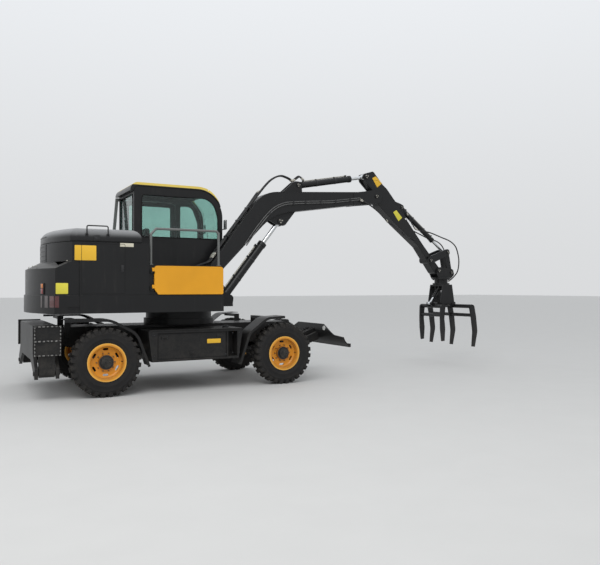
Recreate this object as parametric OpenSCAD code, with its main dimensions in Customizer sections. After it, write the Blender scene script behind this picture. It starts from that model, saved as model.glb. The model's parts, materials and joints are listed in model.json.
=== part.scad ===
// Wheeled excavator with a timber grapple, a front dozer blade and rear outriggers.
// Millimetres. +X is forward, +Y is left, +Z is up, and the wheels stand on Z = 0.
// Every outline is drawn from the slewing axis, and in_frame() moves it so that
// the origin is under the middle of the whole machine.

/* [Wheels] */
// Distance between the two axles
wheelbase = 2470; // [2200:10:2900]
// Distance between the tyre centres of one axle
track = 1760; // [1700:10:1900]
// Outside diameter of a tyre
tyre_od = 865; // [780:5:900]
// Width of a tyre
tyre_w = 240; // [200:5:260]
// Diameter over the rim flanges
rim_od = 480; // [440:5:520]

/* [Chassis] */
// Width of the chassis box
frame_w = 620; // [520:10:680]
// Underside of the chassis box
frame_bottom = 560; // [540:5:600]
// Top of the chassis box
frame_top = 850; // [800:5:880]
// Outside radius of the slewing ring
ring_r = 470; // [400:5:520]
// Top of the slewing ring
ring_top = 1025; // [980:5:1040]
// Half of the overall width, to the tyres and running boards
half_w = 1000; // [960:5:1060]
// Thickness of the pressed sheets
sheet = 6; // [4:1:10]

/* [Blade and outriggers] */
// Lower edge of the raised blade
blade_bottom = 485; // [450:5:520]
// Height of the blade in its middle
blade_h = 310; // [260:5:360]
// Place of the blade's back face
blade_x = 2190; // [2100:5:2300]
// Place of the outrigger frame's middle, behind the slewing axis
outrigger_x = 1920; // [1880:5:1960]
// Length of the outrigger frame along the machine
outrigger_l = 300; // [240:5:340]
// Height of an outrigger's pivot
outrigger_pivot_z = 335; // [300:5:380]
// Distance of an outrigger's pivot from the middle
outrigger_pivot_y = 905; // [860:5:930]

/* [Upper body] */
// Underside of the revolving deck
deck_bottom = 1090; // [1075:5:1120]
// Thickness of the deck plate
deck_t = 35; // [25:1:45]
// Swing radius of the tail
tail_r = 2090; // [2000:5:2200]
// Half width of the upper body
upper_w = 970; // [930:5:1000]
// Top of the skirt round the deck
skirt_top = 1270; // [1240:5:1300]
// Underside of the skirt
skirt_bottom = 1045; // [1035:5:1080]
// Lower edge of the hood
hood_z = 1935; // [1900:5:1980]
// Height of the hood
hood_h = 170; // [140:5:200]
// Top of the tool box beside the boom
box_top = 1660; // [1600:5:1720]

/* [Cab] */
// Back wall of the cab
cab_back = -640; // [-680:5:-600]
// Front of the cab
cab_front = 710; // [680:5:740]
// Right wall of the cab
cab_right = 70; // [60:5:90]
// Left wall of the cab
cab_left = 995; // [960:5:1000]
// Underside of the cab roof
cab_eaves = 2830; // [2780:5:2860]
// Thickness of a cab wall
wall = 40; // [30:1:50]
// Thickness of the window glass
glass_t = 6; // [5:1:8]

/* [Boom and arm] */
// Sideways place of the boom, arm and grapple
boom_y = -120; // [-125:1:-115]
// Width of the boom box
boom_w = 230; // [210:2:236]
// Width of the arm box
arm_w = 170; // [150:2:180]
// Radius of the main pins
pin_r = 32; // [25:1:38]
// Gap round a pin and beside a sliding rod
pin_gap = 0.3; // [0.2:0.05:0.5]
// Side gap between an eye and its ears
side_gap = 4; // [3:0.5:6]

/* [Grapple] */
// Sideways distance of an outer tine from the middle one
tine_pitch = 560; // [480:10:600]
// Thickness of a tine
tine_t = 34; // [24:1:44]

/* [Hidden] */

$fn = 48;

// The slewing axis lies this far from the origin
slew_x = -1537.437;

black = [0.10, 0.10, 0.11];
grey = [0.30, 0.30, 0.32];
yellow = [0.91, 0.62, 0.05];
chrome = [0.80, 0.82, 0.84];
rubber = [0.07, 0.07, 0.07];
tint = [0.55, 0.75, 0.72, 0.4];

axle_x = wheelbase / 2;
axle_z = tyre_od / 2;
tyre_y = track / 2;
blade_top = blade_bottom + blade_h;
deck_top = deck_bottom + deck_t;
seat_gap = 0.3;
cab_floor = deck_top + seat_gap;
hood_top = hood_z + hood_h;

// Main pins in the plane of the boom: x, z
boom_foot = [336, 1478];
boom_tip = [3355, 2900];
boom_cyl_base = [633, 1202];
boom_cyl_eye = [1570, 2400];
arm_cyl_base = [1890, 2985];
arm_cyl_eye = [3175, 3225];
arm_tip = [4706, 1666];
rocker_pin = [4507, 1848];
tilt_cyl_base = [3930, 2755];
tilt_cyl_eye = [4905, 2005];
link_pin = [4994, 1636];
grapple_x = 4850;
jaw_pin_x = 115;
jaw_pin_z = 1075;

function unit(v) = v / norm(v);
function turn(from, to) = let (d = to - from) d > 180 ? d - 360 : d < -180 ? d + 360 : d;

// Points of one corner b between a and c, rounded by r
function corner(a, b, c, r) =
    r <= 0 ? [b] :
    let (
        u = unit(a - b),
        v = unit(c - b),
        half = acos(u * v) / 2,
        reach = r / tan(half),
        start = b + u * reach,
        end = b + v * reach,
        mid = b + unit(u + v) * r / sin(half),
        a0 = atan2(start[1] - mid[1], start[0] - mid[0]),
        a1 = atan2(end[1] - mid[1], end[0] - mid[0]),
        sweep = turn(a0, a1),
        steps = max(2, ceil(abs(sweep) / 7.5))
    )
    [for (i = [0:steps]) mid + r * [cos(a0 + sweep * i / steps), sin(a0 + sweep * i / steps)]];

// Closed outline from rows of x, z, corner radius
function outline(rows) =
    let (n = len(rows))
    [for (i = [0:n - 1])
        let (a = rows[(i + n - 1) % n], b = rows[i], c = rows[(i + 1) % n])
        each corner([a[0], a[1]], [b[0], b[1]], [c[0], c[1]], b[2])];

// Open path from rows of x, z, corner radius
function path(rows) =
    let (n = len(rows))
    [for (i = [0:n - 1])
        let (b = rows[i])
        each (i == 0 || i == n - 1) ? [[b[0], b[1]]] :
            corner([rows[i - 1][0], rows[i - 1][1]], [b[0], b[1]],
                   [rows[i + 1][0], rows[i + 1][1]], b[2])];

function left_of(v) = [-v[1], v[0]];

// Closed outline of a sheet of thickness t to the left of a path
function band(rows, t) =
    let (
        p = path(rows),
        n = len(p),
        q = [for (i = [0:n - 1])
            let (
                before = i == 0 ? unit(p[1] - p[0]) : unit(p[i] - p[i - 1]),
                after = i == n - 1 ? unit(p[n - 1] - p[n - 2]) : unit(p[i + 1] - p[i]),
                m = unit(left_of(before) + left_of(after))
            )
            p[i] + m * t / (m * left_of(after))]
    )
    concat(p, [for (i = [n - 1:-1:0]) q[i]]);

module in_frame() {
    translate([slew_x, 0, 0]) children();
}

// Flat outline in X and Z, extruded from y0 to y1
module across(y0, y1) {
    translate([0, y1, 0]) rotate([90, 0, 0]) linear_extrude(y1 - y0) children();
}

// Flat outline in Y and Z, extruded from x0 to x1
module along(x0, x1) {
    translate([x0, 0, 0]) rotate([90, 0, 90]) linear_extrude(x1 - x0) children();
}

// Box between two corners
module box(low, high) {
    translate(low) cube(high - low);
}

// Round bar along Y at x, z
module bar_y(p, y0, y1, r) {
    translate([p[0], y1, p[1]]) rotate([90, 0, 0]) cylinder(r = r, h = y1 - y0);
}

// Round bar along X at y, z
module bar_x(p, x0, x1, r) {
    translate([x0, p[0], p[1]]) rotate([0, 90, 0]) cylinder(r = r, h = x1 - x0);
}

module mirrored() {
    children();
    mirror([0, 1, 0]) children();
}

// Places a part drawn along +X so that it runs from p to q in the plane Y = y
module from_to(p, q, y) {
    translate([p[0], y, p[1]])
        rotate([0, -atan2(q[1] - p[1], q[0] - p[0]), 0]) children();
}

// The same in the plane X = x, with p and q as y, z
module from_to_side(p, q, x) {
    translate([x, p[0], p[1]])
        rotate([atan2(q[1] - p[1], q[0] - p[0]), 0, 0]) rotate([0, 0, 90]) children();
}

// Cylinder barrel along +X from its base pin, with a neck that stays between the ears
module barrel(length, r, rod_r, eye_r, eye_w, base_pin_r, neck) {
    difference() {
        union() {
            bar_y([0, 0], -eye_w / 2, eye_w / 2, eye_r);
            box([0, -eye_w / 2, -eye_r * 0.85], [neck + 12, eye_w / 2, eye_r * 0.85]);
            translate([neck, 0, 0]) rotate([0, 90, 0]) cylinder(r = r, h = length - neck);
            translate([neck, 0, 0]) rotate([0, 90, 0]) cylinder(r = r * 1.1, h = r * 0.35);
            translate([length - r * 0.9, 0, 0]) rotate([0, 90, 0]) cylinder(r = r * 1.12, h = r * 0.9);
            translate([neck + r * 1.1, 0, r * 0.7]) cylinder(r = r * 0.3, h = r * 0.6);
            translate([length - r * 1.7, 0, r * 0.7]) cylinder(r = r * 0.3, h = r * 0.6);
        }
        bar_y([0, 0], -eye_w, eye_w, base_pin_r + pin_gap);
        translate([max(eye_r * 1.15, base_pin_r + 12), 0, 0]) rotate([0, 90, 0])
            cylinder(r = rod_r + pin_gap, h = length);
    }
}

// Cylinder rod that ends in an eye at x = length, with its pin's core inside the eye
module rod(start, length, r, eye_r, eye_w) {
    translate([start, 0, 0]) rotate([0, 90, 0]) cylinder(r = r, h = length - start);
    bar_y([length, 0], -eye_w / 2, eye_w / 2, eye_r);
    translate([length - eye_r * 1.5, 0, 0]) rotate([0, 90, 0])
        cylinder(r1 = r, r2 = min(eye_w / 2, eye_r * 0.8), h = eye_r * 0.8);
}

// Two plates with an outline, each side of a gap
module ears(gap, t, y) {
    for (side = [0, 1])
        across(y + (side == 0 ? -gap / 2 - t : gap / 2), y + (side == 0 ? -gap / 2 : gap / 2 + t))
            children();
}

// Tyre section, turned about the wheel's axle: radius, half width, corner radius
tyre_rows = [
    [rim_od / 2 - 24 + seat_gap, tyre_w * 0.396, 0],
    [rim_od / 2 + 4, tyre_w * 0.440, 0],
    [rim_od / 2 + 34, tyre_w * 0.492, 40],
    [tyre_od / 2 - 80, tyre_w * 0.50, 60],
    [tyre_od / 2 - 14, tyre_w * 0.44, 30],
    [tyre_od / 2, tyre_w * 0.32, 0]
];

module tyre() {
    half = path(tyre_rows);
    both = concat(half, [for (i = [len(half) - 1:-1:0]) [half[i][0], -half[i][1]]]);
    color(rubber) rotate([-90, 0, 0]) rotate_extrude($fn = 96) polygon(both);
}

// Rim with a dish that lies deep from the outside, hand holes and a hub
rim_t = 12;
dish_y = 10;
hub_r = 92;
hand_holes = 6;

module rim(outside) {
    flange = rim_od / 2;
    bed = flange - 24;
    color(yellow) mirror([0, outside < 0 ? 1 : 0, 0]) rotate([-90, 0, 0]) difference() {
        union() {
            rotate_extrude($fn = 96) polygon([
                [bed - rim_t, -tyre_w * 0.46], [bed, -tyre_w * 0.46],
                [bed, -tyre_w * 0.47], [flange, -tyre_w * 0.47],
                [flange, -tyre_w * 0.44], [flange - 24, -tyre_w * 0.40],
                [bed - 1, 0],
                [flange - 24, tyre_w * 0.40], [flange, tyre_w * 0.44],
                [flange, tyre_w * 0.47], [bed - rim_t, tyre_w * 0.47],
                [bed - rim_t - 8, 40], [bed - rim_t - 30, dish_y + 14],
                [0, dish_y + 14], [0, dish_y - 4], [bed - rim_t - 26, dish_y - 4],
                [bed - rim_t - 6, dish_y - 14]
            ]);
            translate([0, 0, dish_y]) cylinder(r = hub_r, h = 62);
            translate([0, 0, dish_y]) cylinder(r = hub_r - 26, h = 78);
            translate([0, 0, -60]) cylinder(r = 120, h = 60 + dish_y);
            for (i = [0:9])
                rotate([0, 0, 36 * i]) translate([hub_r + 22, 0, dish_y]) cylinder(r = 9, h = 34, $fn = 6);
        }
        for (i = [0:hand_holes - 1])
            rotate([0, 0, 360 / hand_holes * (i + 0.5)]) translate([162, 0, dish_y - 30])
                linear_extrude(80) polygon(outline([
                    [-14, -34, 13], [14, -34, 13], [14, 34, 13], [-14, 34, 13]
                ]));
    }
}

module wheel_place(front, left) {
    in_frame() translate([front * axle_x, left * tyre_y, axle_z]) children();
}

module tyre_rear_left() { wheel_place(-1, 1) tyre(); }
module tyre_rear_right() { wheel_place(-1, -1) tyre(); }
module tyre_front_left() { wheel_place(1, 1) tyre(); }
module tyre_front_right() { wheel_place(1, -1) tyre(); }
module rim_rear_left() { wheel_place(-1, 1) rim(1); }
module rim_rear_right() { wheel_place(-1, -1) rim(-1); }
module rim_front_left() { wheel_place(1, 1) rim(1); }
module rim_front_right() { wheel_place(1, -1) rim(-1); }

// Chassis

frame_front = 1650;
frame_back = 1700;
blade_arm_pin = [1700, 440];
blade_cyl_pin = [1722, 832];
blade_arm_y = 215;

module chassis_frame() {
    color(black) in_frame() {
        difference() {
            across(-frame_w / 2, frame_w / 2) polygon(outline([
                [-frame_back, frame_top, 20],
                [-frame_back, frame_bottom + 60, 20],
                [-axle_x - 250, frame_bottom, 30],
                [frame_front - 60, frame_bottom, 30],
                [frame_front, frame_bottom + 60, 20],
                [frame_front, frame_top - 90, 20],
                [frame_front - 60, frame_top, 30]
            ]));
            // lightening holes through the side plates
            for (x = [-720, 720])
                bar_y([x, 705], -frame_w, -frame_w / 2 + 30, 85);
            for (x = [-720, 720])
                bar_y([x, 705], frame_w / 2 - 30, frame_w, 85);
        }
        // seat and fixed race of the slewing ring
        translate([0, 0, frame_top]) cylinder(r = ring_r + 30, h = 80);
        difference() {
            translate([0, 0, frame_top + 80]) cylinder(r = ring_r, h = ring_top - frame_top - 80);
            translate([0, 0, frame_top + 85]) cylinder(r = ring_r - 70, h = 200);
        }
        // outriggers of the box that carry the running boards
        mirrored() for (x = [-560, 480])
            box([x, frame_w / 2 - 1, frame_top - 170], [x + 90, frame_w / 2 + 140 - seat_gap, frame_top - 60]);
        // hangers over the axles
        for (front = [-1, 1], side = [-1, 1])
            translate([front * axle_x - 80, side * 230 - 38, axle_z + 82 + seat_gap])
                cube([160, 76, frame_bottom - axle_z - 80]);
        // ears of the blade arms
        mirrored() for (y = [blade_arm_y - 58, blade_arm_y + 34])
            across(y, y + 24) difference() {
                polygon(outline([
                    [blade_arm_pin[0] - 170, frame_bottom + 20, 0],
                    [blade_arm_pin[0] - 70, blade_arm_pin[1] - 62, 40],
                    [blade_arm_pin[0] + 62, blade_arm_pin[1] - 62, 60],
                    [blade_arm_pin[0] + 62, frame_bottom + 90, 0]
                ]));
            }
        mirrored() bar_y(blade_arm_pin, blade_arm_y - 66, blade_arm_y + 66, 24);
        // ears of the blade cylinders
        mirrored() for (y = [90 - 44, 90 + 24])
            across(y, y + 20) polygon(outline([
                [frame_front - 90, frame_top - 8, 0],
                [frame_front - 20, frame_top - 200, 0],
                [blade_cyl_pin[0] + 20, blade_cyl_pin[1] - 60, 30],
                [blade_cyl_pin[0] + 40, blade_cyl_pin[1] + 36, 36],
                [blade_cyl_pin[0] - 36, blade_cyl_pin[1] + 40, 36]
            ]));
        mirrored() bar_y(blade_cyl_pin, 90 - 50, 90 + 50, 18);
        // bolting face of the outrigger frame
        box([-frame_back - 70, -260, frame_bottom + 40], [-frame_back + 10, 260, frame_top - 30]);
    }
}

module lashing_eyes() {
    color(black) in_frame() {
        for (side = [-1, 1])
            translate([frame_front - 130, side * (frame_w / 2 + seat_gap), 640])
                mirror([0, side < 0 ? 1 : 0, 0]) difference() {
                    translate([0, 0, -12]) linear_extrude(24) polygon(outline([
                        [-70, 0, 0], [70, 0, 0], [60, 110, 50], [-60, 110, 50]
                    ]));
                    translate([0, 62, -30]) cylinder(r = 26, h = 60);
                }
    }
}

// Fenders over the wheels

fender_front_rows = [
    // x, z, corner radius
    [540, 320, 0],
    [680, 740, 160],
    [960, 950, 160],
    [1240, 965, 0]
];
fender_rear_rows = [
    [-1740, 975, 0],
    [-1190, 975, 300],
    [-850, 790, 260],
    [-690, 360, 0]
];

module fender(rows) {
    mirrored() {
        across(tyre_y - tyre_w / 2 - 60, half_w) polygon(band(rows, -sheet));
        across(half_w - sheet, half_w) polygon(band(rows, -34));
    }
}

// Bracket from the chassis side to the underside of a fender
module fender_bracket(x, top) {
    side = frame_w / 2 + seat_gap;
    mirrored() along(x, x + 80) polygon([
        [side, 700], [side + 12, 700], [side + 12, top - 40],
        [tyre_y - tyre_w / 2 - 20, top - 40], [tyre_y - tyre_w / 2 - 20, top], [side, top]
    ]);
}

module front_fenders() {
    color(black) in_frame() {
        fender(fender_front_rows);
        fender_bracket(1010, 953);
    }
}

module rear_fenders() {
    color(black) in_frame() {
        fender(fender_rear_rows);
        fender_bracket(-1640, 972);
    }
}

// Boxes between the wheels, with the tread plate on top and the steps on the left

board_top = 815;
board_bottom = 405;
board_x0 = -600;
board_x1 = 500;

module running_boards() {
    color(black) in_frame() {
        // right: tank box with a recessed panel
        difference() {
            across(-half_w + 6, -frame_w / 2 - 140) polygon(outline([
                [board_x0 - 70, board_bottom, 0],
                [board_x1 + 30, board_bottom, 0],
                [board_x1 + 90, board_top - 12, 0],
                [board_x0 - 120, board_top - 12, 0]
            ]));
            box([board_x0, -half_w, board_bottom + 22], [360, -half_w + 24, board_top - 40]);
            box([376, -half_w, board_bottom + 30], [board_x1 + 10, -half_w + 180, board_top - 40]);
        }
        // left: ladder box with two steps
        difference() {
            across(frame_w / 2 + 140, half_w - 6) polygon(outline([
                [board_x0 - 70, board_bottom, 0],
                [board_x1 + 30, board_bottom, 0],
                [board_x1 + 90, board_top - 12, 0],
                [board_x0 - 120, board_top - 12, 0]
            ]));
            box([-180, half_w - 190, board_bottom + 200], [360, half_w, board_top - 40]);
            box([-180, half_w - 190, board_bottom + 22], [360, half_w, board_bottom + 178]);
        }
        // deck plates
        mirrored() box([board_x0 - 110, frame_w / 2 + 20, board_top - 12], [board_x1 + 80, half_w, board_top]);
    }
}

// Axles

module axle(front) {
    end = tyre_y - tyre_w / 2 - 20;
    mid = 60 * front;
    translate([front * axle_x, 0, axle_z]) {
        // tube, flares and differential, turned about the axle
        rotate([-90, 0, 0]) rotate_extrude() polygon([
            [0, -end], [62, -end], [62, -420], [80, -260], [80, mid - 130], [118, mid - 66],
            [118, mid + 66], [80, mid + 130], [80, 260], [62, 420], [62, end], [0, end]
        ]);
        translate([0, mid, 0]) rotate([0, -90 * front, 0]) cylinder(r1 = 98, r2 = 60, h = 230);
        // spring seats
        for (side = [-1, 1])
            translate([-85, side * 230 - 50, 40]) cube([170, 100, 42]);
    }
}

module rear_axle() {
    color(black) in_frame() {
        axle(-1);
        // hub carriers
        mirrored() translate([-axle_x, 0, axle_z])
            bar_y([0, 0], tyre_y - tyre_w / 2 - 90, tyre_y - 60 - seat_gap, 100);
    }
}

kingpin_y = tyre_y - 190;

module front_axle() {
    color(black) in_frame() {
        difference() {
            axle(1);
            mirrored() translate([axle_x, kingpin_y + 48, axle_z]) cube([400, 200, 400], center = true);
        }
        // forks that hold the king pins
        mirrored() for (up = [-1, 1])
            translate([axle_x, kingpin_y, axle_z]) {
                translate([-46, -72, up * 94 - 16]) cube([92, 112, 32]);
                translate([-46, -72, up > 0 ? 0 : -110]) cube([92, 20, 110]);
            }
        mirrored() translate([axle_x, kingpin_y, axle_z - 104]) cylinder(r = 22, h = 208);
        // steering cylinder
        bar_y([axle_x - 170, axle_z + 30], -260, 260, 34);
        bar_y([axle_x - 170, axle_z + 30], -400, 400, 16);
        for (side = [-1, 1])
            translate([axle_x - 180, side * 140 - 15, axle_z - 20]) cube([130, 30, 60]);
    }
}

module knuckle(side) {
    translate([axle_x, side * kingpin_y, axle_z]) mirror([0, side < 0 ? 1 : 0, 0]) {
        difference() {
            union() {
                cylinder(r = 46, h = 148, center = true);
                bar_y([0, 0], 0, tyre_y - 60 - seat_gap - kingpin_y, 70);
                // steering arm
                translate([-170, -12, -60]) cube([150, 50, 26]);
            }
            cylinder(r = 22 + pin_gap, h = 300, center = true);
        }
    }
}

module knuckle_left() { color(black) in_frame() knuckle(1); }
module knuckle_right() { color(black) in_frame() knuckle(-1); }

module driveline() {
    color(grey) in_frame() {
        // transfer gearbox under the chassis
        box([-160, -150, 380], [160, 170, frame_bottom - 0.3]);
        bar_x([0, axle_z], -210, 210, 66);
        // shafts to both axles
        bar_x([-60, axle_z], -axle_x + 230 + seat_gap, -205, 34);
        bar_x([60, axle_z], 205, axle_x - 230 - seat_gap, 34);
        bar_x([-60, axle_z], -240, -150, 58);
        bar_x([60, axle_z], 150, 240, 58);
    }
}

// Outriggers

leg_top = 900;
leg_w = 185;
pad_w = 300;
outrigger_pad_y = 1010;

module outrigger_frame() {
    x0 = -outrigger_x - outrigger_l / 2;
    color(black) in_frame() {
        difference() {
            translate([x0, 0, 0]) rotate([90, 0, 90]) linear_extrude(outrigger_l - 20) polygon(outline([
                [-outrigger_pivot_y - 55, outrigger_pivot_z - 80, 20],
                [-outrigger_pivot_y - 55, outrigger_pivot_z + 60, 20],
                [-760, 560, 60], [-760, 900, 40],
                [760, 900, 40], [760, 560, 60],
                [outrigger_pivot_y + 55, outrigger_pivot_z + 60, 20],
                [outrigger_pivot_y + 55, outrigger_pivot_z - 80, 20],
                [520, 470, 120], [-520, 470, 120]
            ]));
            // slot that takes the legs and cylinders
            box([x0 + 40, -1100, 200], [x0 + outrigger_l - 60, 1100, 860]);
        }
        // pivots
        mirrored() bar_x([outrigger_pivot_y, outrigger_pivot_z], x0 - 12, x0 + outrigger_l - 8, 26);
        // cylinder pins
        mirrored() bar_x(outrigger_cyl_base, x0 + 30, x0 + outrigger_l - 50, 22);
        // bolting flange to the chassis
        box([x0 + outrigger_l - 20, -260, frame_bottom + 40],
            [-frame_back - 70.3, 260, frame_top - 30]);
    }
}

outrigger_cyl_base = [120, 790];
outrigger_cyl_eye = [815, 575];

// Foot plate, folded up against the side, with a toothed border and a middle rib
module foot_plate(xm) {
    y0 = outrigger_pivot_y + 75;
    difference() {
        box([xm - pad_w / 2, y0, 550], [xm + pad_w / 2, outrigger_pad_y, 905]);
        for (z = [[562, 718], [734, 893]])
            box([xm - pad_w / 2 + 12, y0 + 12, z[0]], [xm + pad_w / 2 - 12, outrigger_pad_y + 20, z[1]]);
        for (i = [0:7])
            box([xm - pad_w, outrigger_pad_y - 11, 572 + 41 * i], [xm + pad_w, outrigger_pad_y + 20, 590 + 41 * i]);
        for (i = [0:5])
            box([xm - 126 + 47 * i, outrigger_pad_y - 11, 500], [xm - 106 + 47 * i, outrigger_pad_y + 20, 950]);
    }
}

module outrigger_leg(side) {
    x0 = -outrigger_x - outrigger_l / 2;
    xm = x0 + 40 + (outrigger_l - 100) / 2;
    mirror([0, side < 0 ? 1 : 0, 0]) difference() {
        union() {
            // leg box, pivoted at its foot
            along(xm - 90, xm + 90) polygon(outline([
                [outrigger_pivot_y - 50, outrigger_pivot_z - 50, 48],
                [outrigger_pivot_y + 50, outrigger_pivot_z - 50, 48],
                [outrigger_pivot_y + 58, 640, 10],
                [outrigger_pivot_y + 58, 860, 20],
                [outrigger_pivot_y + 20, 880, 20],
                [outrigger_pivot_y - 50, 640, 60]
            ]));
            // ears for the rod's eye
            for (x = [xm - 56, xm + 32])
                along(x, x + 24) polygon(outline([
                    [outrigger_pivot_y, 470, 0], [outrigger_cyl_eye[0] - 20, outrigger_cyl_eye[1] - 44, 36],
                    [outrigger_cyl_eye[0] - 36, outrigger_cyl_eye[1] + 36, 36], [outrigger_pivot_y, 690, 0]
                ]));
            for (x = [xm - 62, xm + 50])
                bar_x(outrigger_cyl_eye, x, x + 12, 28);
            foot_plate(xm);
            box([xm - 50, outrigger_pivot_y + 40, 640], [xm + 50, outrigger_pivot_y + 77, 820]);
        }
        bar_x([outrigger_pivot_y, outrigger_pivot_z], x0 - 50, x0 + 500, 26 + pin_gap);
        // room for the rod's eye
        box([xm - 32, 700, 450], [xm + 32, outrigger_cyl_eye[0] + 92, 700]);
    }
}

module outrigger_leg_left() { color(black) in_frame() outrigger_leg(1); }
module outrigger_leg_right() { color(black) in_frame() outrigger_leg(-1); }

module outrigger_cyl(side) {
    x0 = -outrigger_x - outrigger_l / 2;
    xm = x0 + 40 + (outrigger_l - 100) / 2;
    mirror([0, side < 0 ? 1 : 0, 0]) from_to_side(outrigger_cyl_base, outrigger_cyl_eye, xm) children();
}

outrigger_cyl_l = norm(outrigger_cyl_eye - outrigger_cyl_base);

module outrigger_barrel_left() {
    color(black) in_frame() outrigger_cyl(1) barrel(660, 40, 24, 45, 60, 22, 50);
}
module outrigger_barrel_right() {
    color(black) in_frame() outrigger_cyl(-1) barrel(660, 40, 24, 45, 60, 22, 50);
}
module outrigger_rod_left() {
    color(chrome) in_frame() outrigger_cyl(1) rod(90, outrigger_cyl_l, 24, 36, 56);
}
module outrigger_rod_right() {
    color(chrome) in_frame() outrigger_cyl(-1) rod(90, outrigger_cyl_l, 24, 36, 56);
}

// Dozer blade

module dozer_blade() {
    color(black) in_frame() {
        intersection() {
            across(-half_w, half_w) polygon(band([
                [blade_x + 150, blade_bottom, 0],
                [blade_x + 10, blade_bottom + 120, 220],
                [blade_x + 40, blade_top, 0]
            ], 18));
            along(blade_x - 100, blade_x + 300) polygon([
                [-half_w, blade_bottom - 50], [half_w, blade_bottom - 50],
                [half_w, blade_bottom + 140], [half_w - 270, blade_bottom + 160],
                [half_w - 500, blade_top - 40], [half_w - 720, blade_top + 60],
                [-half_w + 720, blade_top + 60], [-half_w + 500, blade_top - 40],
                [-half_w + 270, blade_bottom + 160], [-half_w, blade_bottom + 140]
            ]);
        }
        // cutting edge
        box([blade_x + 128, -half_w, blade_bottom - 10], [blade_x + 158, half_w, blade_bottom + 40]);
        // push arms
        mirrored() difference() {
            across(blade_arm_y - 30, blade_arm_y + 30) polygon(outline([
                [blade_arm_pin[0] - 50, blade_arm_pin[1] - 50, 48],
                [blade_arm_pin[0] + 60, blade_arm_pin[1] - 50, 40],
                [blade_x + 40, blade_bottom + 60, 20],
                [blade_x + 20, blade_bottom + 190, 20],
                [blade_arm_pin[0] + 60, blade_arm_pin[1] + 50, 40],
                [blade_arm_pin[0] - 50, blade_arm_pin[1] + 50, 48]
            ]));
            bar_y(blade_arm_pin, 0, 400, 24 + pin_gap);
        }
        // cross tube between the arms
        bar_y([blade_x - 70, blade_bottom + 60], -blade_arm_y, blade_arm_y, 38);
        // ears for the rods' eyes
        for (y0 = [-134, -66, 46, 114])
            across(y0, y0 + 20) polygon(outline([
                [blade_x + 30, blade_bottom + 60, 0],
                [blade_cyl_eye[0] - 10, blade_cyl_eye[1] - 50, 36],
                [blade_cyl_eye[0] - 30, blade_cyl_eye[1] + 36, 36],
                [blade_x + 20, blade_bottom + 240, 0]
            ]));
        mirrored() for (y0 = [38, 134])
            bar_y(blade_cyl_eye, y0, y0 + 8, 24);
    }
}

blade_cyl_eye = [1995, 600];
blade_cyl_l = norm(blade_cyl_eye - blade_cyl_pin);

module blade_barrels() {
    color(black) in_frame()
        for (y = [-90, 90])
            from_to(blade_cyl_pin, blade_cyl_eye, y) barrel(305, 34, 19, 30, 40, 18, 70);
}
module blade_rods() {
    color(chrome) in_frame()
        for (y = [-90, 90])
            from_to(blade_cyl_pin, blade_cyl_eye, y) rod(50, blade_cyl_l, 19, 28, 48);
}

// Revolving upper body

swing_front = 320;

module swing_frame() {
    color(black) in_frame() {
        difference() {
            union() {
                // deck plate
                translate([0, 0, deck_bottom]) linear_extrude(deck_t)
                    polygon(outline([
                        [-1700, -upper_w + 10, 0], [swing_front, -upper_w + 10, 60],
                        [swing_front, -300, 0], [760, -280, 60], [760, 40, 40],
                        [690, 60, 0], [690, upper_w, 80], [-1700, upper_w, 0]
                    ]));
                // turning race inside the slewing ring
                translate([0, 0, ring_top - 70]) cylinder(r = ring_r - 70 - pin_gap, h = 120);
                translate([0, 0, ring_top + pin_gap]) cylinder(r = ring_r, h = deck_bottom - ring_top);
                // skirts
                box([-1560, -upper_w, skirt_bottom], [swing_front, -upper_w + 30, skirt_top]);
                box([-1560, upper_w - 30, skirt_bottom], [700, upper_w, 1125]);
                box([swing_front - 30, -upper_w, skirt_bottom], [swing_front, -300, skirt_top]);
                // main beams and boom ears
                for (side = [-1, 1])
                    translate([0, boom_y + side * (boom_w / 2 + side_gap + 15), 0]) across(-15, 15)
                        polygon(outline([
                            [-690, deck_top - 5, 0], [740, deck_top - 5, 0],
                            [760, 1240, 60], [620, 1300, 60],
                            [boom_foot[0] + 95, boom_foot[1] + 60, 90],
                            [boom_foot[0] - 95, boom_foot[1] + 60, 90],
                            [60, 1330, 100], [-690, 1200, 20]
                        ]));
                // pins
                bar_y(boom_foot, boom_y - boom_w / 2 - side_gap - 42, boom_y + boom_w / 2 + side_gap + 42, pin_r);
                bar_y(boom_cyl_base, boom_y - boom_w / 2 - side_gap - 10, boom_y + boom_w / 2 + side_gap + 10, pin_r);
                for (side = [-1, 1])
                    translate([0, boom_y + side * 85, 0]) bar_y(boom_cyl_base, -35, 35, 60);
            }
            // slot for the boom cylinder when the boom is down
            box([560, boom_y - boom_w / 2 - side_gap, 1000], [800, boom_y + boom_w / 2 + side_gap, 1150]);
        }
    }
}

// Top of the counterweight, and the radius of the shroud that stands on it
tail_top = 1690;
shroud_r = 1885;

// Plan of the shroud behind x0: the tail's circle with its corners cut at 30 degrees
module tail_plan(r, w, x0, cut) {
    x1 = -2 * (cut - w * cos(30));
    intersection() {
        circle(r = r, $fn = 120);
        polygon([
            [x0, -w], [x0, w], [x1, w], [-2200, w - (x1 + 2200) * tan(30)],
            [-2200, -w + (x1 + 2200) * tan(30)], [x1, -w]
        ]);
    }
}

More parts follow.
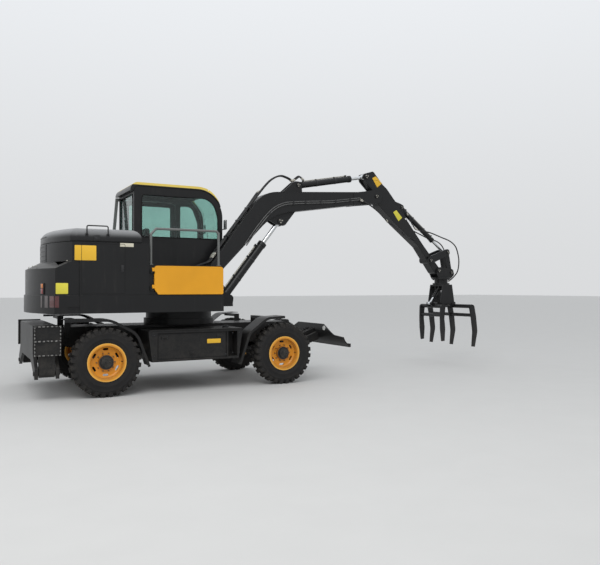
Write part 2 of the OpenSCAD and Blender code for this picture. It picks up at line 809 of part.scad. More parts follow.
module counterweight() {
    color(black) in_frame() difference() {
        union() {
            translate([0, 0, skirt_bottom]) linear_extrude(skirt_top - skirt_bottom) intersection() {
                circle(r = tail_r, $fn = 120);
                polygon(outline([
                    [-1562, -upper_w, 0], [-1562, upper_w, 0],
                    [-2120, upper_w, 190], [-2120, -upper_w, 190]
                ]));
            }
            translate([0, 0, skirt_top - 1]) linear_extrude(tail_top - 89 - skirt_top) intersection() {
                circle(r = tail_r - 15, $fn = 120);
                polygon(outline([
                    [-1562, -upper_w + 15, 0], [-1562, upper_w - 15, 0],
                    [-2120, upper_w - 15, 190], [-2120, -upper_w + 15, 190]
                ]));
            }
            // sloped shoulder up to the shroud
            translate([0, 0, tail_top - 91]) cylinder(r1 = tail_r - 15, r2 = shroud_r + 20, h = 91, $fn = 120);
        }
        box([-1800, -upper_w + 90, 1130], [0, upper_w - 90, 2400]);
        box([-1562, -3000, 1000], [3000, 3000, 2400]);
        box([-3000, upper_w - 15, skirt_top], [0, 3000, 2400]);
        box([-3000, -3000, skirt_top], [0, -upper_w + 15, 2400]);
        // deck plate's seat
        box([-1700 - seat_gap, -upper_w - 5, deck_bottom - seat_gap], [-1500, upper_w + 5, deck_top + seat_gap]);
    }
}

module engine() {
    color(grey) in_frame() box([-1540, -420, deck_top + seat_gap], [-880, 420, 1760]);
}

side_front = -700;

module body_sides() {
    side_in = upper_w - 35;
    color(black) in_frame() {
        // side panels of the engine bay
        for (side = [-1, 1])
            box([-1561.7, side > 0 ? side_in : -upper_w + 5, skirt_top + seat_gap],
                [side_front, side > 0 ? upper_w - 5 : -side_in, hood_z - 6]);
        // shroud round the engine bay's rear
        translate([0, 0, tail_top + seat_gap]) linear_extrude(hood_z - 6 - tail_top - seat_gap) difference() {
            tail_plan(shroud_r, upper_w - 5, -1561, 1623);
            tail_plan(shroud_r - 30, side_in, -1500, 1593);
        }
        // bulkhead in front of the engine bay
        box([side_front - 30, -upper_w + 31, deck_top + seat_gap], [side_front, upper_w - 31, skirt_top + 1]);
        box([side_front - 30, -upper_w + 6, skirt_top + seat_gap], [side_front, upper_w - 6, hood_z - 6]);
        // hinge pins of the hood
        for (x = [-1500, -960]) {
            bar_x(hood_hinge, x - 25, x + 75, 8);
            for (dx = [-30, 55])
                box([x + dx, hood_hinge[0] - 12, hood_z - 30], [x + dx + 25, hood_hinge[0] + 10, hood_hinge[1] + 10]);
        }
        // tool box beside the boom
        difference() {
            union() {
                box([side_front - 1, -upper_w + 20, skirt_top + seat_gap], [swing_front - 5, -330, box_top]);
                for (z = [skirt_top + 60, box_top - 110])
                    box([-690, box_hinge[1] - 12, z], [-650, -upper_w + 25, z + 50]);
            }
            box([-630, -upper_w, skirt_top + 40], [swing_front - 50, -upper_w + 350, box_top - 40]);
            // room for the hinge eyes of the door
            for (z = [skirt_top + 60, box_top - 110])
                translate([box_hinge[0], box_hinge[1], z + 24]) cylinder(r = 19, h = 60);
        }
        for (z = [skirt_top + 60, box_top - 110])
            translate([box_hinge[0], box_hinge[1], z]) cylinder(r = 7, h = 74);
        // ledge behind the cab
        box([side_front - 1, 300, deck_top + seat_gap], [cab_back - 5, upper_w - 31, deck_top + 80]);
    }
}

// Hood's form, drawn in by t all round: its rear follows the shroud
module hood_form(t) {
    w = upper_w - 38 - t;
    d = 1604 - t;
    low = hood_z - t * 1.12;
    top = hood_top - t;
    r = 125 - t;
    intersection() {
        across(-1500, 1500) polygon(outline([
            [-2100, low, 0], [hood_front - t, low, 0], [hood_front - t, top, r], [-2100, top, 0]
        ]));
        along(-2100, 0) polygon(outline([[-w, low, 0], [w, low, 0], [w, top, r], [-w, top, r]]));
        rotate([0, 0, 30]) along(-3000, 1000) polygon(outline([
            [-3000, low, 0], [d, low, 0], [d, top, r], [-3000, top, 0]
        ]));
        rotate([0, 0, -30]) along(-3000, 1000) polygon(outline([
            [-d, low, 0], [3000, low, 0], [3000, top, 0], [-d, top, r]
        ]));
        rotate_extrude($fn = 120) polygon(outline([
            [0, low, 0], [shroud_r - t, low, 0], [shroud_r - t, top, r], [0, top, 0]
        ]));
    }
}

hood_front = -790;
hood_hinge = [upper_w - 16, hood_z + 12];

module hood() {
    color(black) in_frame() {
        difference() {
            union() {
                hood_form(0);
                // hinge eyes on the left
                for (x = [-1500, -960]) {
                    bar_x(hood_hinge, x, x + 50, 14);
                    box([x, hood_hinge[0] - 40, hood_hinge[1] - 8], [x + 50, hood_hinge[0], hood_hinge[1] + 14]);
                }
            }
            hood_form(18);
            for (x = [-1500, -960])
                bar_x(hood_hinge, x - 5, x + 60, 8 + pin_gap);
        }
    }
}

// Upright hinge of the tool box's door, as x, y
box_hinge = [-654, -upper_w + 2];

module toolbox_door() {
    color(yellow) in_frame() difference() {
        union() {
            across(-upper_w - 14, -upper_w + 14) polygon(outline([
                [-638, skirt_top + 75, 0], [-585, skirt_top + 6, 0],
                [swing_front - 12, skirt_top + 6, 20], [swing_front - 12, box_top - 12, 40],
                [-638, box_top - 12, 40]
            ]));
            for (z = [skirt_top + 85, box_top - 85]) {
                translate([box_hinge[0], box_hinge[1], z]) cylinder(r = 13, h = 46);
                box([box_hinge[0], box_hinge[1] - 12, z], [-620, box_hinge[1] + 4, z + 46]);
            }
        }
        for (z = [skirt_top + 85, box_top - 85])
            translate([box_hinge[0], box_hinge[1], z - 5]) cylinder(r = 7 + pin_gap, h = 60);
        // clear of the fixed hinge eyes
        for (z = [skirt_top + 55, box_top - 115])
            box([-660, -1100, z], [-632, -upper_w + 20, z + 27]);
    }
}

// Cab

cab_rows = [
    // x, z, corner radius
    [cab_back, cab_floor, 0],
    [cab_back, cab_eaves, 60],
    [cab_front, cab_eaves, 400],
    [cab_front, 1700, 200],
    [cab_front - 90, cab_floor, 0]
];

module cab_profile() { polygon(outline(cab_rows)); }

module cab_cavity() {
    polygon(outline([
        [cab_back + wall, cab_floor + wall, 0],
        [cab_back + wall, cab_eaves - 20, 40],
        [cab_front - wall, cab_eaves - 20, 370],
        [cab_front - wall, 1700, 200],
        [cab_front - wall - 90, cab_floor + wall, 0]
    ]));
}

module window_right() {
    polygon(outline([
        [-530, 2100, 30], [-530, 2710, 40], [560, 2710, 240], [640, 2420, 100], [640, 2100, 30]
    ]));
}

door_rows = [
    [-560, 1180, 20], [-560, 2730, 40], [250, 2730, 60], [250, 1700, 100], [150, 1180, 20]
];

module door_outline() { polygon(outline(door_rows)); }

module cab_shell() {
    color(black) in_frame() difference() {
        across(cab_right, cab_left) cab_profile();
        across(cab_right + wall, cab_left - wall) cab_cavity();
        // right window
        across(cab_right - 10, cab_right + wall + 10) window_right();
        // doorway
        across(cab_left - wall - 10, cab_left + 10) door_outline();
        // room for the door's hinge eyes
        for (z = [1420, 2420])
            translate([door_hinge[0], door_hinge[1], z + 40.5]) cylinder(r = 20, h = 52);
        // left front window
        across(cab_left - wall - 10, cab_left + 10) polygon(outline([
            [330, 1500, 30], [330, 2690, 40], [540, 2690, 120], [640, 2420, 100], [640, 1500, 30]
        ]));
        // back window
        along(cab_back - 10, cab_back + wall + 10) polygon(outline([
            [cab_right + 80, 2060, 40], [cab_left - 80, 2060, 40],
            [cab_left - 80, 2720, 40], [cab_right + 80, 2720, 40]
        ]));
        // windscreen
        box([480, cab_right + 60, 1480], [cab_front + 100, cab_left - 60, cab_eaves + 100]);
    }
    color(black) in_frame() {
        // hinge pins of the door
        for (z = [1420, 2420]) {
            translate([door_hinge[0], door_hinge[1], z]) cylinder(r = 6, h = 90);
            box([door_hinge[0] - 30, cab_left - 6, z], [door_hinge[0] + 4, door_hinge[1] + 9, z + 40]);
        }
    }
}

// Upright hinge of the cab door, as x, y
door_hinge = [-574, cab_left - 2];

module cab_roof() {
    color(yellow) in_frame() intersection() {
        across(cab_right - 12, cab_left + 5) polygon(band([
            [cab_back - 6, cab_eaves - 70, 0],
            [cab_back - 6, cab_eaves + seat_gap, 66],
            [cab_front, cab_eaves + seat_gap, 400 + seat_gap],
            [cab_front, cab_eaves - 500, 0]
        ], 50));
        box([-1000, 0, 2000], [474, 1100, 3000]);
    }
}

module cab_glass() {
    color(tint) in_frame() {
        across(cab_right + 12, cab_right + 12 + glass_t) polygon(outline([
            [-529.7, 2100.3, 30], [-529.7, 2709.7, 40], [559.7, 2709.7, 240], [639.7, 2420, 100], [639.7, 2100.3, 30]
        ]));
        across(cab_left - 18, cab_left - 18 + glass_t) polygon(outline([
            [330.3, 1500.3, 30], [330.3, 2689.7, 40], [539.7, 2689.7, 120], [639.7, 2420, 100], [639.7, 1500.3, 30]
        ]));
        along(cab_back + 12, cab_back + 12 + glass_t) polygon(outline([
            [cab_right + 80.3, 2060.3, 40], [cab_left - 80.3, 2060.3, 40],
            [cab_left - 80.3, 2719.7, 40], [cab_right + 80.3, 2719.7, 40]
        ]));
        intersection() {
            across(cab_right + 60.3, cab_left - 60.3) polygon(band([
                [cab_front - 52, 1480.3, 0], [cab_front - 17, 1700, 180],
                [cab_front - 17, cab_eaves - 17, 383], [200, cab_eaves - 17, 0]
            ], glass_t));
            box([480.3, 0, 1480.3], [900, 1100, 3000]);
        }
    }
}

module cab_door() {
    color(black) in_frame() difference() {
        union() {
            across(cab_left - 34, cab_left + 2) polygon(outline([
                [-555, 1185, 20], [-555, 2725, 40], [245, 2725, 60], [245, 1700, 100], [145, 1185, 20]
            ]));
            for (z = [1420, 2420]) {
                translate([door_hinge[0], door_hinge[1], z + 42]) cylinder(r = 11, h = 46);
                box([door_hinge[0], door_hinge[1] - 8, z + 42], [-540, door_hinge[1] + 4, z + 88]);
            }
        }
        across(cab_left - 60, cab_left + 20) polygon(outline([
            [-490, 1800, 30], [-490, 2660, 40], [180, 2660, 40], [180, 1800, 30]
        ]));
        across(cab_left - 60, cab_left + 20) polygon(outline([
            [-490, 1260, 30], [-490, 1740, 40], [180, 1740, 40], [110, 1260, 30]
        ]));
        for (z = [1420, 2420]) {
            translate([door_hinge[0], door_hinge[1], z]) cylinder(r = 6 + pin_gap, h = 100);
            box([door_hinge[0] - 20, cab_left - 60, z - 4], [-545, cab_left + 20, z + 41]);
        }
    }
}

module door_glass() {
    color(tint) in_frame() {
        across(cab_left - 20, cab_left - 20 + glass_t) polygon(outline([
            [-489.7, 1800.3, 30], [-489.7, 2659.7, 40], [179.7, 2659.7, 40], [179.7, 1800.3, 30]
        ]));
        across(cab_left - 20, cab_left - 20 + glass_t) polygon(outline([
            [-489.7, 1260.3, 30], [-489.7, 1739.7, 40], [179.7, 1739.7, 40], [109.7, 1260.3, 30]
        ]));
    }
}

seat_y = (cab_right + cab_left) / 2;

module seat() {
    color(black) in_frame() translate([0, seat_y, 0]) {
        box([-330, -240, 1500], [160, 240, 1620]);
        across(-230, 230) polygon(outline([
            [-345, 1620.3, 20], [-215, 1620.3, 20], [-300, 2290, 50], [-410, 2270, 50]
        ]));
    }
}

module cab_fittings() {
    color(grey) in_frame() translate([0, seat_y, 0]) {
        // seat post
        box([-260, -170, cab_floor + wall + 0.3], [60, 170, 1499.7]);
        // consoles
        mirrored() box([-300, 265, 1490], [120, 345, 1640]);
        mirrored() box([-220, 150, 1455], [-120, 300, 1499.7]);
        // levers
        mirrored() translate([60, 305, 1640]) cylinder(r = 12, h = 150);
        // steering column and wheel
        box([330, -90, cab_floor + wall + 0.3], [500, 90, cab_floor + wall + 60]);
        from_to([425, cab_floor + wall + 30], [330, 1780], 0)
            rotate([0, 90, 0]) cylinder(r = 32, h = 566);
        translate([310, 0, 1745]) rotate([0, -12, 0]) rotate_extrude() translate([175, 0]) circle(r = 14);
        translate([310, 0, 1745]) rotate([0, -12, 0]) cube([30, 350, 14], center = true);
    }
}

module rail(p, q, r) {
    d = q - p;
    len = norm(d);
    translate(p) rotate([0, acos(d[2] / len), atan2(d[1], d[0])]) cylinder(r = r, h = len);
}

module rail_run(points, r) {
    for (i = [0:len(points) - 2])
        rail(points[i], points[i + 1], r);
    for (i = [1:len(points) - 2])
        translate(points[i]) sphere(r = r * 1.08);
}

module handrails() {
    rail_y = -upper_w + 50;
    color(black) in_frame() {
        // rail round the tool box
        rail_run([[-668, rail_y, box_top + seat_gap], [-668, rail_y, 2058], [-600, rail_y, 2130],
                  [230, rail_y, 2130], [262, rail_y, 2098], [262, rail_y, box_top + seat_gap]], 16);
        for (x = [-668, 262])
            translate([x, rail_y, box_top + seat_gap]) cylinder(r = 30, h = 10);
        // flat stay from the body's side up to the cab's back
        across(upper_w - 34, upper_w - 8) polygon([
            [-764, hood_z - 6 + seat_gap], [side_front - 4, hood_z - 6 + seat_gap],
            [side_front - 24, hood_z + 60],
            [cab_back - 25, 2700], [cab_back - seat_gap, 2700], [cab_back - seat_gap, 2745],
            [cab_back - 66, 2745], [-764, hood_z + 120]
        ]);
    }
}

// Boom

boom_outline = [
    // x, z, corner radius
    [boom_foot[0] - 78, boom_foot[1] + 10, 60],
    [753, 2170, 0],
    [1260, 2831, 500],
    [1882, 2873, 0],
    [3092, 2955, 20],
    [3078, 2752, 40],
    [1882, 2571, 0],
    [1432, 2501, 800],
    [boom_foot[0] + 90, boom_foot[1] - 20, 60],
    [boom_foot[0] + 10, boom_foot[1] - 75, 60]
];

module boom() {
    half = boom_w / 2;
    tip_gap = arm_w + 2 * side_gap;
    color(black) in_frame() translate([0, boom_y, 0]) difference() {
        union() {
            difference() {
                across(-half, half) polygon(outline(boom_outline));
            }
            bar_y(boom_foot, -half, half, 78);
            // fork at the tip
            for (side = [-1, 1])
                translate([0, side * (tip_gap / 2 + 16), 0]) across(-16, 16) polygon(outline([
                    [2900, 2935, 0], [3100, 2965, 0],
                    [boom_tip[0] + 40, boom_tip[1] + 120, 60],
                    [boom_tip[0] + 130, boom_tip[1] + 60, 90],
                    [boom_tip[0] + 90, boom_tip[1] - 110, 90],
                    [3080, 2745, 0], [2900, 2720, 0]
                ]));
            // ears of the arm cylinder
            ears(86, 24, 0) polygon(outline([
                [arm_cyl_base[0] - 300, 2840, 0],
                [arm_cyl_base[0] - 66, arm_cyl_base[1] + 60, 62],
                [arm_cyl_base[0] + 60, arm_cyl_base[1] + 60, 62],
                [arm_cyl_base[0] + 70, 2850, 0],
                [arm_cyl_base[0], 2800, 0]
            ]));
            bar_y(arm_cyl_base, -80, 80, pin_r);
            // ears of the boom cylinder's eye
            ears(96, 26, 0) polygon(outline([
                [1330, 2440, 0], [boom_cyl_eye[0] - 85, boom_cyl_eye[1] - 50, 60],
                [boom_cyl_eye[0] + 70, boom_cyl_eye[1] - 75, 76],
                [1860, 2600, 0], [1600, 2620, 0]
            ]));
            for (side = [-1, 1])
                translate([0, side * 80, 0]) bar_y(boom_cyl_eye, -8, 8, 50);
            // caps on the foot pin's tube
            bar_y(boom_tip, -tip_gap / 2 - 44, tip_gap / 2 + 44, pin_r);
        }
        bar_y(boom_foot, -200, 200, pin_r + pin_gap);
        // slot for the cylinder's eye under the knee
        for (i = [0:3])
            bar_y(boom_cyl_eye + i * [-32, 24], -48, 48, 76);
    }
}

boom_cyl_l = norm(boom_cyl_eye - boom_cyl_base);
module boom_barrel() {
    color(black) in_frame() from_to(boom_cyl_base, boom_cyl_eye, boom_y) barrel(1080, 62, 34, 62, 90, pin_r, 72);
}
module boom_rod() {
    color(chrome) in_frame() from_to(boom_cyl_base, boom_cyl_eye, boom_y) rod(560, boom_cyl_l, 34, 60, 86);
}

arm_cyl_l = norm(arm_cyl_eye - arm_cyl_base);
module arm_barrel() {
    color(black) in_frame() from_to(arm_cyl_base, arm_cyl_eye, boom_y) barrel(1026, 50, 29, 56, 76, pin_r, 76);
}
module arm_rod() {
    color(chrome) in_frame() from_to(arm_cyl_base, arm_cyl_eye, boom_y) rod(300, arm_cyl_l, 29, 52, 76);
}

// Arm

arm_dir = atan2(arm_tip[1] - boom_tip[1], arm_tip[0] - boom_tip[0]);
arm_l = norm(arm_tip - boom_tip);

module arm() {
    half = arm_w / 2;
    color(black) in_frame() translate([0, boom_y, 0]) difference() {
        union() {
            across(-half, half) polygon(outline([
                [3165, 3160, 0],
                [3290, 3015, 50],
                [3425, 2752, 80],
                [3762, 2466, 0],
                [4273, 2084, 200],
                [arm_tip[0] - 60, arm_tip[1] - 62, 60],
                [arm_tip[0] + 66, arm_tip[1] + 10, 60],
                [4376, 2110, 60],
                [4030, 2520, 60],
                [3960, 2650, 40],
                [3740, 2880, 0],
                [3592, 3048, 100],
                [3400, 3190, 60]
            ]));
            bar_y(boom_tip, -half, half, 84);
            // ears of the arm cylinder's eye
            for (side = [-1, 1])
                translate([0, side * (half - 13), 0]) across(-13, 13) polygon(outline([
                    [3140, 3150, 20], [3105, 3262, 50], [3310, 3324, 40], [3600, 3010, 0], [3300, 3000, 0]
                ]));
            for (side = [-1, 1])
                translate([0, side * (half + 8), 0]) bar_y(arm_cyl_eye, -8, 8, 46);
            // ears of the tilt cylinder
            ears(72, 22, 0) polygon(outline([
                [3740, 2860, 0], [tilt_cyl_base[0] - 40, tilt_cyl_base[1] + 66, 40],
                [tilt_cyl_base[0] + 52, tilt_cyl_base[1] + 30, 46],
                [tilt_cyl_base[0] + 30, tilt_cyl_base[1] - 70, 0], [3900, 2560, 0]
            ]));
            bar_y(tilt_cyl_base, -64, 64, 26);
            bar_y(arm_tip, -half, half, 62);
            // boss of the rocker pins
            bar_y(rocker_pin, -half - 8, half + 8, 56);
            for (side = [-1, 1])
                translate([0, side * (half + 26), 0]) bar_y(rocker_pin, -30, 30, 26);
        }
        bar_y(boom_tip, -300, 300, pin_r + pin_gap);
        bar_y(arm_tip, -300, 300, 30 + pin_gap);
    }
}

tilt_cyl_l = norm(tilt_cyl_eye - tilt_cyl_base);
module tilt_barrel() {
    color(black) in_frame() from_to(tilt_cyl_base, tilt_cyl_eye, boom_y) barrel(900, 42, 25, 46, 64, 26, 72);
}
module tilt_rod() {
    color(chrome) in_frame() from_to(tilt_cyl_base, tilt_cyl_eye, boom_y) rod(380, tilt_cyl_l, 25, 44, 64);
}

module rocker() {
    color(black) in_frame() translate([0, boom_y, 0]) for (side = [-1, 1])
        translate([0, side * (arm_w / 2 + 26), 0]) difference() {
            across(-14, 14) polygon(outline([
                [rocker_pin[0] - 56, rocker_pin[1] - 50, 50],
                [rocker_pin[0] + 50, rocker_pin[1] - 50, 50],
                [tilt_cyl_eye[0] + 48, tilt_cyl_eye[1] - 40, 46],
                [tilt_cyl_eye[0] + 30, tilt_cyl_eye[1] + 52, 46],
                [tilt_cyl_eye[0] - 40, tilt_cyl_eye[1] + 48, 40],
                [rocker_pin[0] - 50, rocker_pin[1] + 56, 50]
            ]));
            bar_y(rocker_pin, -60, 60, 26 + pin_gap);
        }
    color(black) in_frame() translate([0, boom_y, 0])
        for (side = [-1, 1])
            bar_y(tilt_cyl_eye, side * (arm_w / 2 + 26) - 20, side * (arm_w / 2 + 26) + 20, 34);
}

module tilt_link() {
    color(black) in_frame() translate([0, boom_y, 0]) for (side = [-1, 1])
        translate([0, side * (arm_w / 2 - 18), 0]) difference() {
            across(-12, 12) polygon(outline([
                [link_pin[0] - 50, link_pin[1] - 45, 44],
                [link_pin[0] + 50, link_pin[1] - 45, 44],
                [tilt_cyl_eye[0] + 50, tilt_cyl_eye[1] + 45, 44],
                [tilt_cyl_eye[0] - 50, tilt_cyl_eye[1] + 45, 44]
            ]));
            bar_y(link_pin, -60, 60, 28 + pin_gap);
        }
}

// Grapple

rotor_z = 1420;

module grapple_head() {
    color(black) in_frame() translate([0, boom_y, 0]) {
        ears(arm_w + 2 * side_gap, 24, 0) polygon(outline([
            [arm_tip[0] - 70, arm_tip[1] + 20, 60],
            [arm_tip[0] + 20, arm_tip[1] + 66, 60],
            [link_pin[0] + 40, link_pin[1] + 66, 60],
            [link_pin[0] + 66, link_pin[1] - 40, 50],
            [grapple_x + 130, 1530, 0],
            [grapple_x - 130, 1530, 0]
        ]));
        bar_y(arm_tip, -arm_w / 2 - 40, arm_w / 2 + 40, 30);
        bar_y(link_pin, -arm_w / 2 - 40, arm_w / 2 + 40, 28);
        translate([grapple_x, 0, 1515]) cylinder(r = 165, h = 35);
        translate([grapple_x, 0, rotor_z + 30]) cylinder(r = 118, h = 1520 - rotor_z - 30);
        for (i = [0:7])
            rotate_about(grapple_x, 45 * i + 22.5) translate([145, 0, 1502]) cylinder(r = 11, h = 20, $fn = 6);
    }
}

module rotate_about(x, a) {
    translate([x, 0, 0]) rotate([0, 0, a]) children();
}

frame_half = 174;

module grapple_frame() {
    color(black) in_frame() translate([grapple_x, boom_y, 0]) {
        // turning flange
        translate([0, 0, rotor_z]) cylinder(r = 150, h = 30 - seat_gap);
        box([-105, -frame_half, rotor_z - 28], [105, frame_half, rotor_z + 1]);
        // side plates that hold the jaw pins
        for (side = [0, 1])
            across(side == 0 ? -frame_half : frame_half - 24, side == 0 ? -frame_half + 24 : frame_half)
                polygon(outline([
                    [-105, rotor_z, 0], [105, rotor_z, 0], [150, 1150, 60],
                    [jaw_pin_x + 46, jaw_pin_z - 46, 44], [jaw_pin_x - 46, jaw_pin_z - 46, 44],
                    [0, jaw_pin_z + 30, 60],
                    [-jaw_pin_x + 46, jaw_pin_z - 46, 44], [-jaw_pin_x - 46, jaw_pin_z - 46, 44],
                    [-150, 1150, 60]
                ]));
        for (side = [-1, 1])
            bar_y([side * jaw_pin_x, jaw_pin_z], -frame_half - 14, frame_half + 14, 26);
        // ears of the jaw cylinders
        for (side = [-1, 1], y = [-54, 34])
            across(y, y + 20) polygon(outline([
                [side * 5, rotor_z - 20, 0], [side * 100, rotor_z - 20, 0],
                [side * 100, jaw_cyl_top[1] - 26, 30], [side * 22, jaw_cyl_top[1] - 30, 26]
            ]));
        for (side = [-1, 1])
            bar_y([side * jaw_cyl_top[0], jaw_cyl_top[1]], -58, 58, 16);
    }
}

jaw_cyl_top = [60, 1345];
jaw_cyl_eye = [262, 1088];
jaw_bar = [200, 1040];

// One jaw, drawn for the front side, with its tines at the given places along Y,
// drawn in towards the middle and lifted at their tips
module jaw(places, draw, lift) {
    difference() {
        union() {
            // hub between the frame's plates
            bar_y([jaw_pin_x, jaw_pin_z], -frame_half + 24 + side_gap, frame_half - 24 - side_gap, 44);
            for (y = [-130, 106])
                across(y, y + 24) polygon(outline([
                    [jaw_pin_x - 42, jaw_pin_z - 42, 40], [jaw_pin_x - 42, jaw_pin_z + 42, 40],
                    [jaw_pin_x + 60, jaw_pin_z + 36, 40], [jaw_bar[0] + 36, jaw_bar[1] + 30, 34],
                    [jaw_bar[0] + 30, jaw_bar[1] - 40, 34]
                ]));
            bar_y(jaw_bar, min(places) - 10, max(places) + 10, 34);
            for (y = places)
                across(y - tine_t / 2, y + tine_t / 2) polygon(outline([
                    [jaw_bar[0] - 45, jaw_bar[1] - 10, 40],
                    [jaw_bar[0] - 5, jaw_bar[1] + 45, 44],
                    [jaw_bar[0] + 52, jaw_bar[1] + 10, 44],
                    [294 - draw / 2, 860, 180],
                    [324 - draw, 600 + lift / 2, 200],
                    [264 - draw / 2, 335 + lift, 0],
                    [210 - draw / 2, 341 + lift, 0],
                    [230 - draw, 600 + lift / 2, 200],
                    [198 - draw / 4, 830, 180]
                ]));
            bar_y([235 - draw / 4, 885], min(places), max(places), 30);
            // ears for the rod's eye
            for (y = [-58, 38])
                across(y, y + 20) polygon(outline([
                    [jaw_bar[0] - 25, jaw_bar[1] + 10, 0], [jaw_cyl_eye[0] - 32, jaw_cyl_eye[1] + 24, 30],
                    [jaw_cyl_eye[0] + 30, jaw_cyl_eye[1] + 26, 28], [jaw_cyl_eye[0] + 14, jaw_cyl_eye[1] - 40, 26],
                    [jaw_bar[0] + 25, jaw_bar[1] - 10, 0]
                ]));
            for (y = [-66, 58])
                bar_y(jaw_cyl_eye, y, y + 8, 20);
        }
        bar_y([jaw_pin_x, jaw_pin_z], -900, 900, 26 + pin_gap);
        // room for the rod's eye
        translate([jaw_cyl_eye[0], 34, jaw_cyl_eye[1]]) rotate([90, 0, 0]) cylinder(r = 34, h = 68);
    }
}

module jaw_front() {
    color(black) in_frame() translate([grapple_x, boom_y, 0]) jaw([-tine_pitch, 0, tine_pitch], 0, 0);
}
module jaw_rear() {
    color(black) in_frame() translate([grapple_x, boom_y, 0]) mirror([1, 0, 0])
        jaw([-tine_pitch / 2, tine_pitch / 2], 70, 95);
}

jaw_cyl_l = norm(jaw_cyl_eye - jaw_cyl_top);
module jaw_cyl(side) {
    in_frame() translate([grapple_x, boom_y, 0]) mirror([side < 0 ? 1 : 0, 0, 0])
        from_to(jaw_cyl_top, jaw_cyl_eye, 0) children();
}
module jaw_barrel_front() { color(black) jaw_cyl(1) barrel(192, 32, 17, 27, 56, 16, 44); }
module jaw_barrel_rear() { color(black) jaw_cyl(-1) barrel(192, 32, 17, 27, 56, 16, 44); }
module jaw_rod_front() { color(chrome) jaw_cyl(1) rod(135, jaw_cyl_l, 17, 25, 60); }
module jaw_rod_rear() { color(chrome) jaw_cyl(-1) rod(135, jaw_cyl_l, 17, 25, 60); }

chassis_frame();
front_fenders();
rear_fenders();
running_boards();
lashing_eyes();
rear_axle();
front_axle();
driveline();
knuckle_left();
knuckle_right();
tyre_rear_left();
tyre_rear_right();
tyre_front_left();
tyre_front_right();
rim_rear_left();
rim_rear_right();
rim_front_left();
rim_front_right();
outrigger_frame();
outrigger_leg_left();
outrigger_leg_right();
outrigger_barrel_left();
outrigger_barrel_right();
outrigger_rod_left();
outrigger_rod_right();
dozer_blade();
blade_barrels();
blade_rods();
swing_frame();
counterweight();
engine();
hood();
body_sides();
toolbox_door();
cab_shell();
cab_roof();
cab_glass();
cab_door();
door_glass();
seat();
cab_fittings();
handrails();
boom();
boom_barrel();
boom_rod();
arm();
arm_barrel();
arm_rod();
tilt_barrel();
tilt_rod();
rocker();
tilt_link();
grapple_head();
grapple_frame();
jaw_front();
jaw_rear();
jaw_barrel_front();
jaw_barrel_rear();
jaw_rod_front();
jaw_rod_rear();
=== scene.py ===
"""Wheeled excavator with a timber grapple: finishes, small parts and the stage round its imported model."""

import json
import math

import bmesh
import bpy
from bpy.props import FloatProperty, FloatVectorProperty, IntProperty, PointerProperty
from mathutils import Matrix, Vector


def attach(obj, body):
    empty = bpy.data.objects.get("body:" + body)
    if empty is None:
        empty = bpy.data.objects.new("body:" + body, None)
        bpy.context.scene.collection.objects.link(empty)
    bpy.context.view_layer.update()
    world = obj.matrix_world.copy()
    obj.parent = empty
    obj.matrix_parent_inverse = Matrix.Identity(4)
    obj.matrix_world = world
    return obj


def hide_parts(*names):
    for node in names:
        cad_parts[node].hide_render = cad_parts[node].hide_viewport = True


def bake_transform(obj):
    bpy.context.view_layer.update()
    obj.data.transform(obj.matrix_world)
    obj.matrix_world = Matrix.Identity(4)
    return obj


bl_info = {
    "name": "Wheeled excavator finishes",
    "version": (1, 0, 0),
    "blender": (4, 5, 0),
    "location": "3D View > Sidebar > Excavator",
    "description": "Gives the packed excavator its paint, tyres, hoses, cab trim and stage",
    "category": "Object",
}

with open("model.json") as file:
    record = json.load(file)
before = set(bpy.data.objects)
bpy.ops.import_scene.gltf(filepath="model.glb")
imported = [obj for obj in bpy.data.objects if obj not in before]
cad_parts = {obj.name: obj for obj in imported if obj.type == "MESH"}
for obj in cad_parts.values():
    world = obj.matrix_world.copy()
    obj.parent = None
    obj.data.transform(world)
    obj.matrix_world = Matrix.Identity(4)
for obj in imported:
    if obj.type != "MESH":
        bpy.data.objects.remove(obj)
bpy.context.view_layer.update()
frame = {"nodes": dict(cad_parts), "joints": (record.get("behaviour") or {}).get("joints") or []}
SLEW = next(joint for joint in frame["joints"] if joint["name"] == "slew")["pos_m"]

# Sizes repeated from the part's source, in millimetres from the slewing axis
AXLE_X, AXLE_Z, TYRE_Y, TYRE_R = 1235.0, 432.5, 880.0, 432.5
BOOM_Y, BOOM_SIDE, ARM_SIDE = -120.0, -235.0, -205.0
BOOM_FOOT, BOOM_TIP = (336, 1478), (3355, 2900)
BOOM_CYL, ARM_CYL = ((633, 1202), (1570, 2400)), ((1890, 2985), (3175, 3225))
ARM_TIP, ROCKER_PIN = (4706, 1666), (4507, 1848)
TILT_CYL, LINK_PIN = ((3930, 2755), (4905, 2005)), (4994, 1636)
SEAT_Y = 532.5
ROOF_BEND, ROOF_R = (310, 0, 2430), 415
PAD_FACE, TAIL_R, TAIL_LAMP_R = 998.5, 2092, 2078

# Where the looks of the wheels change, in metres from the axle's line, and the face of the nuts
RIM_HUB, RIM_NUTS, RIM_CREASE = (0.088, 0.096), (0.103, 0.106, 0.121, 0.124), (0.175, 0.205, 0.212, 0.222)
RIM_FLANGE_HIGHLIGHT, TYRE_WALL, TYRE_TREAD, NUT_FACE = (0.226, 0.234), (0.33, 0.395), (0.414, 0.431), (0.9045, 0.906)

# Colours that more than one place uses
BLACK, BARE_STEEL = (0.0095, 0.0097, 0.0102), (0.16, 0.15, 0.14)

# The stage, in metres and degrees from the origin of the frame
CAMERA_PLACE, CAMERA_TURN = (-4.507, -9.23, 1.36), (90.485, 0.0, -28.4)
LAMP_PLACE, LAMP_TARGET, LAMP_SIZE = (-5.5, -7.0, 8.5), (0, 0, 1), 7.0
FLOOR_REACH = 90

# Limits of the cloth run on the seat
VOXEL, PRESSURE, LAST_FRAME, SEAM_DEPTH, SEAM_WIDTH = 0.008, 4.0, 20, 0.004, 0.006


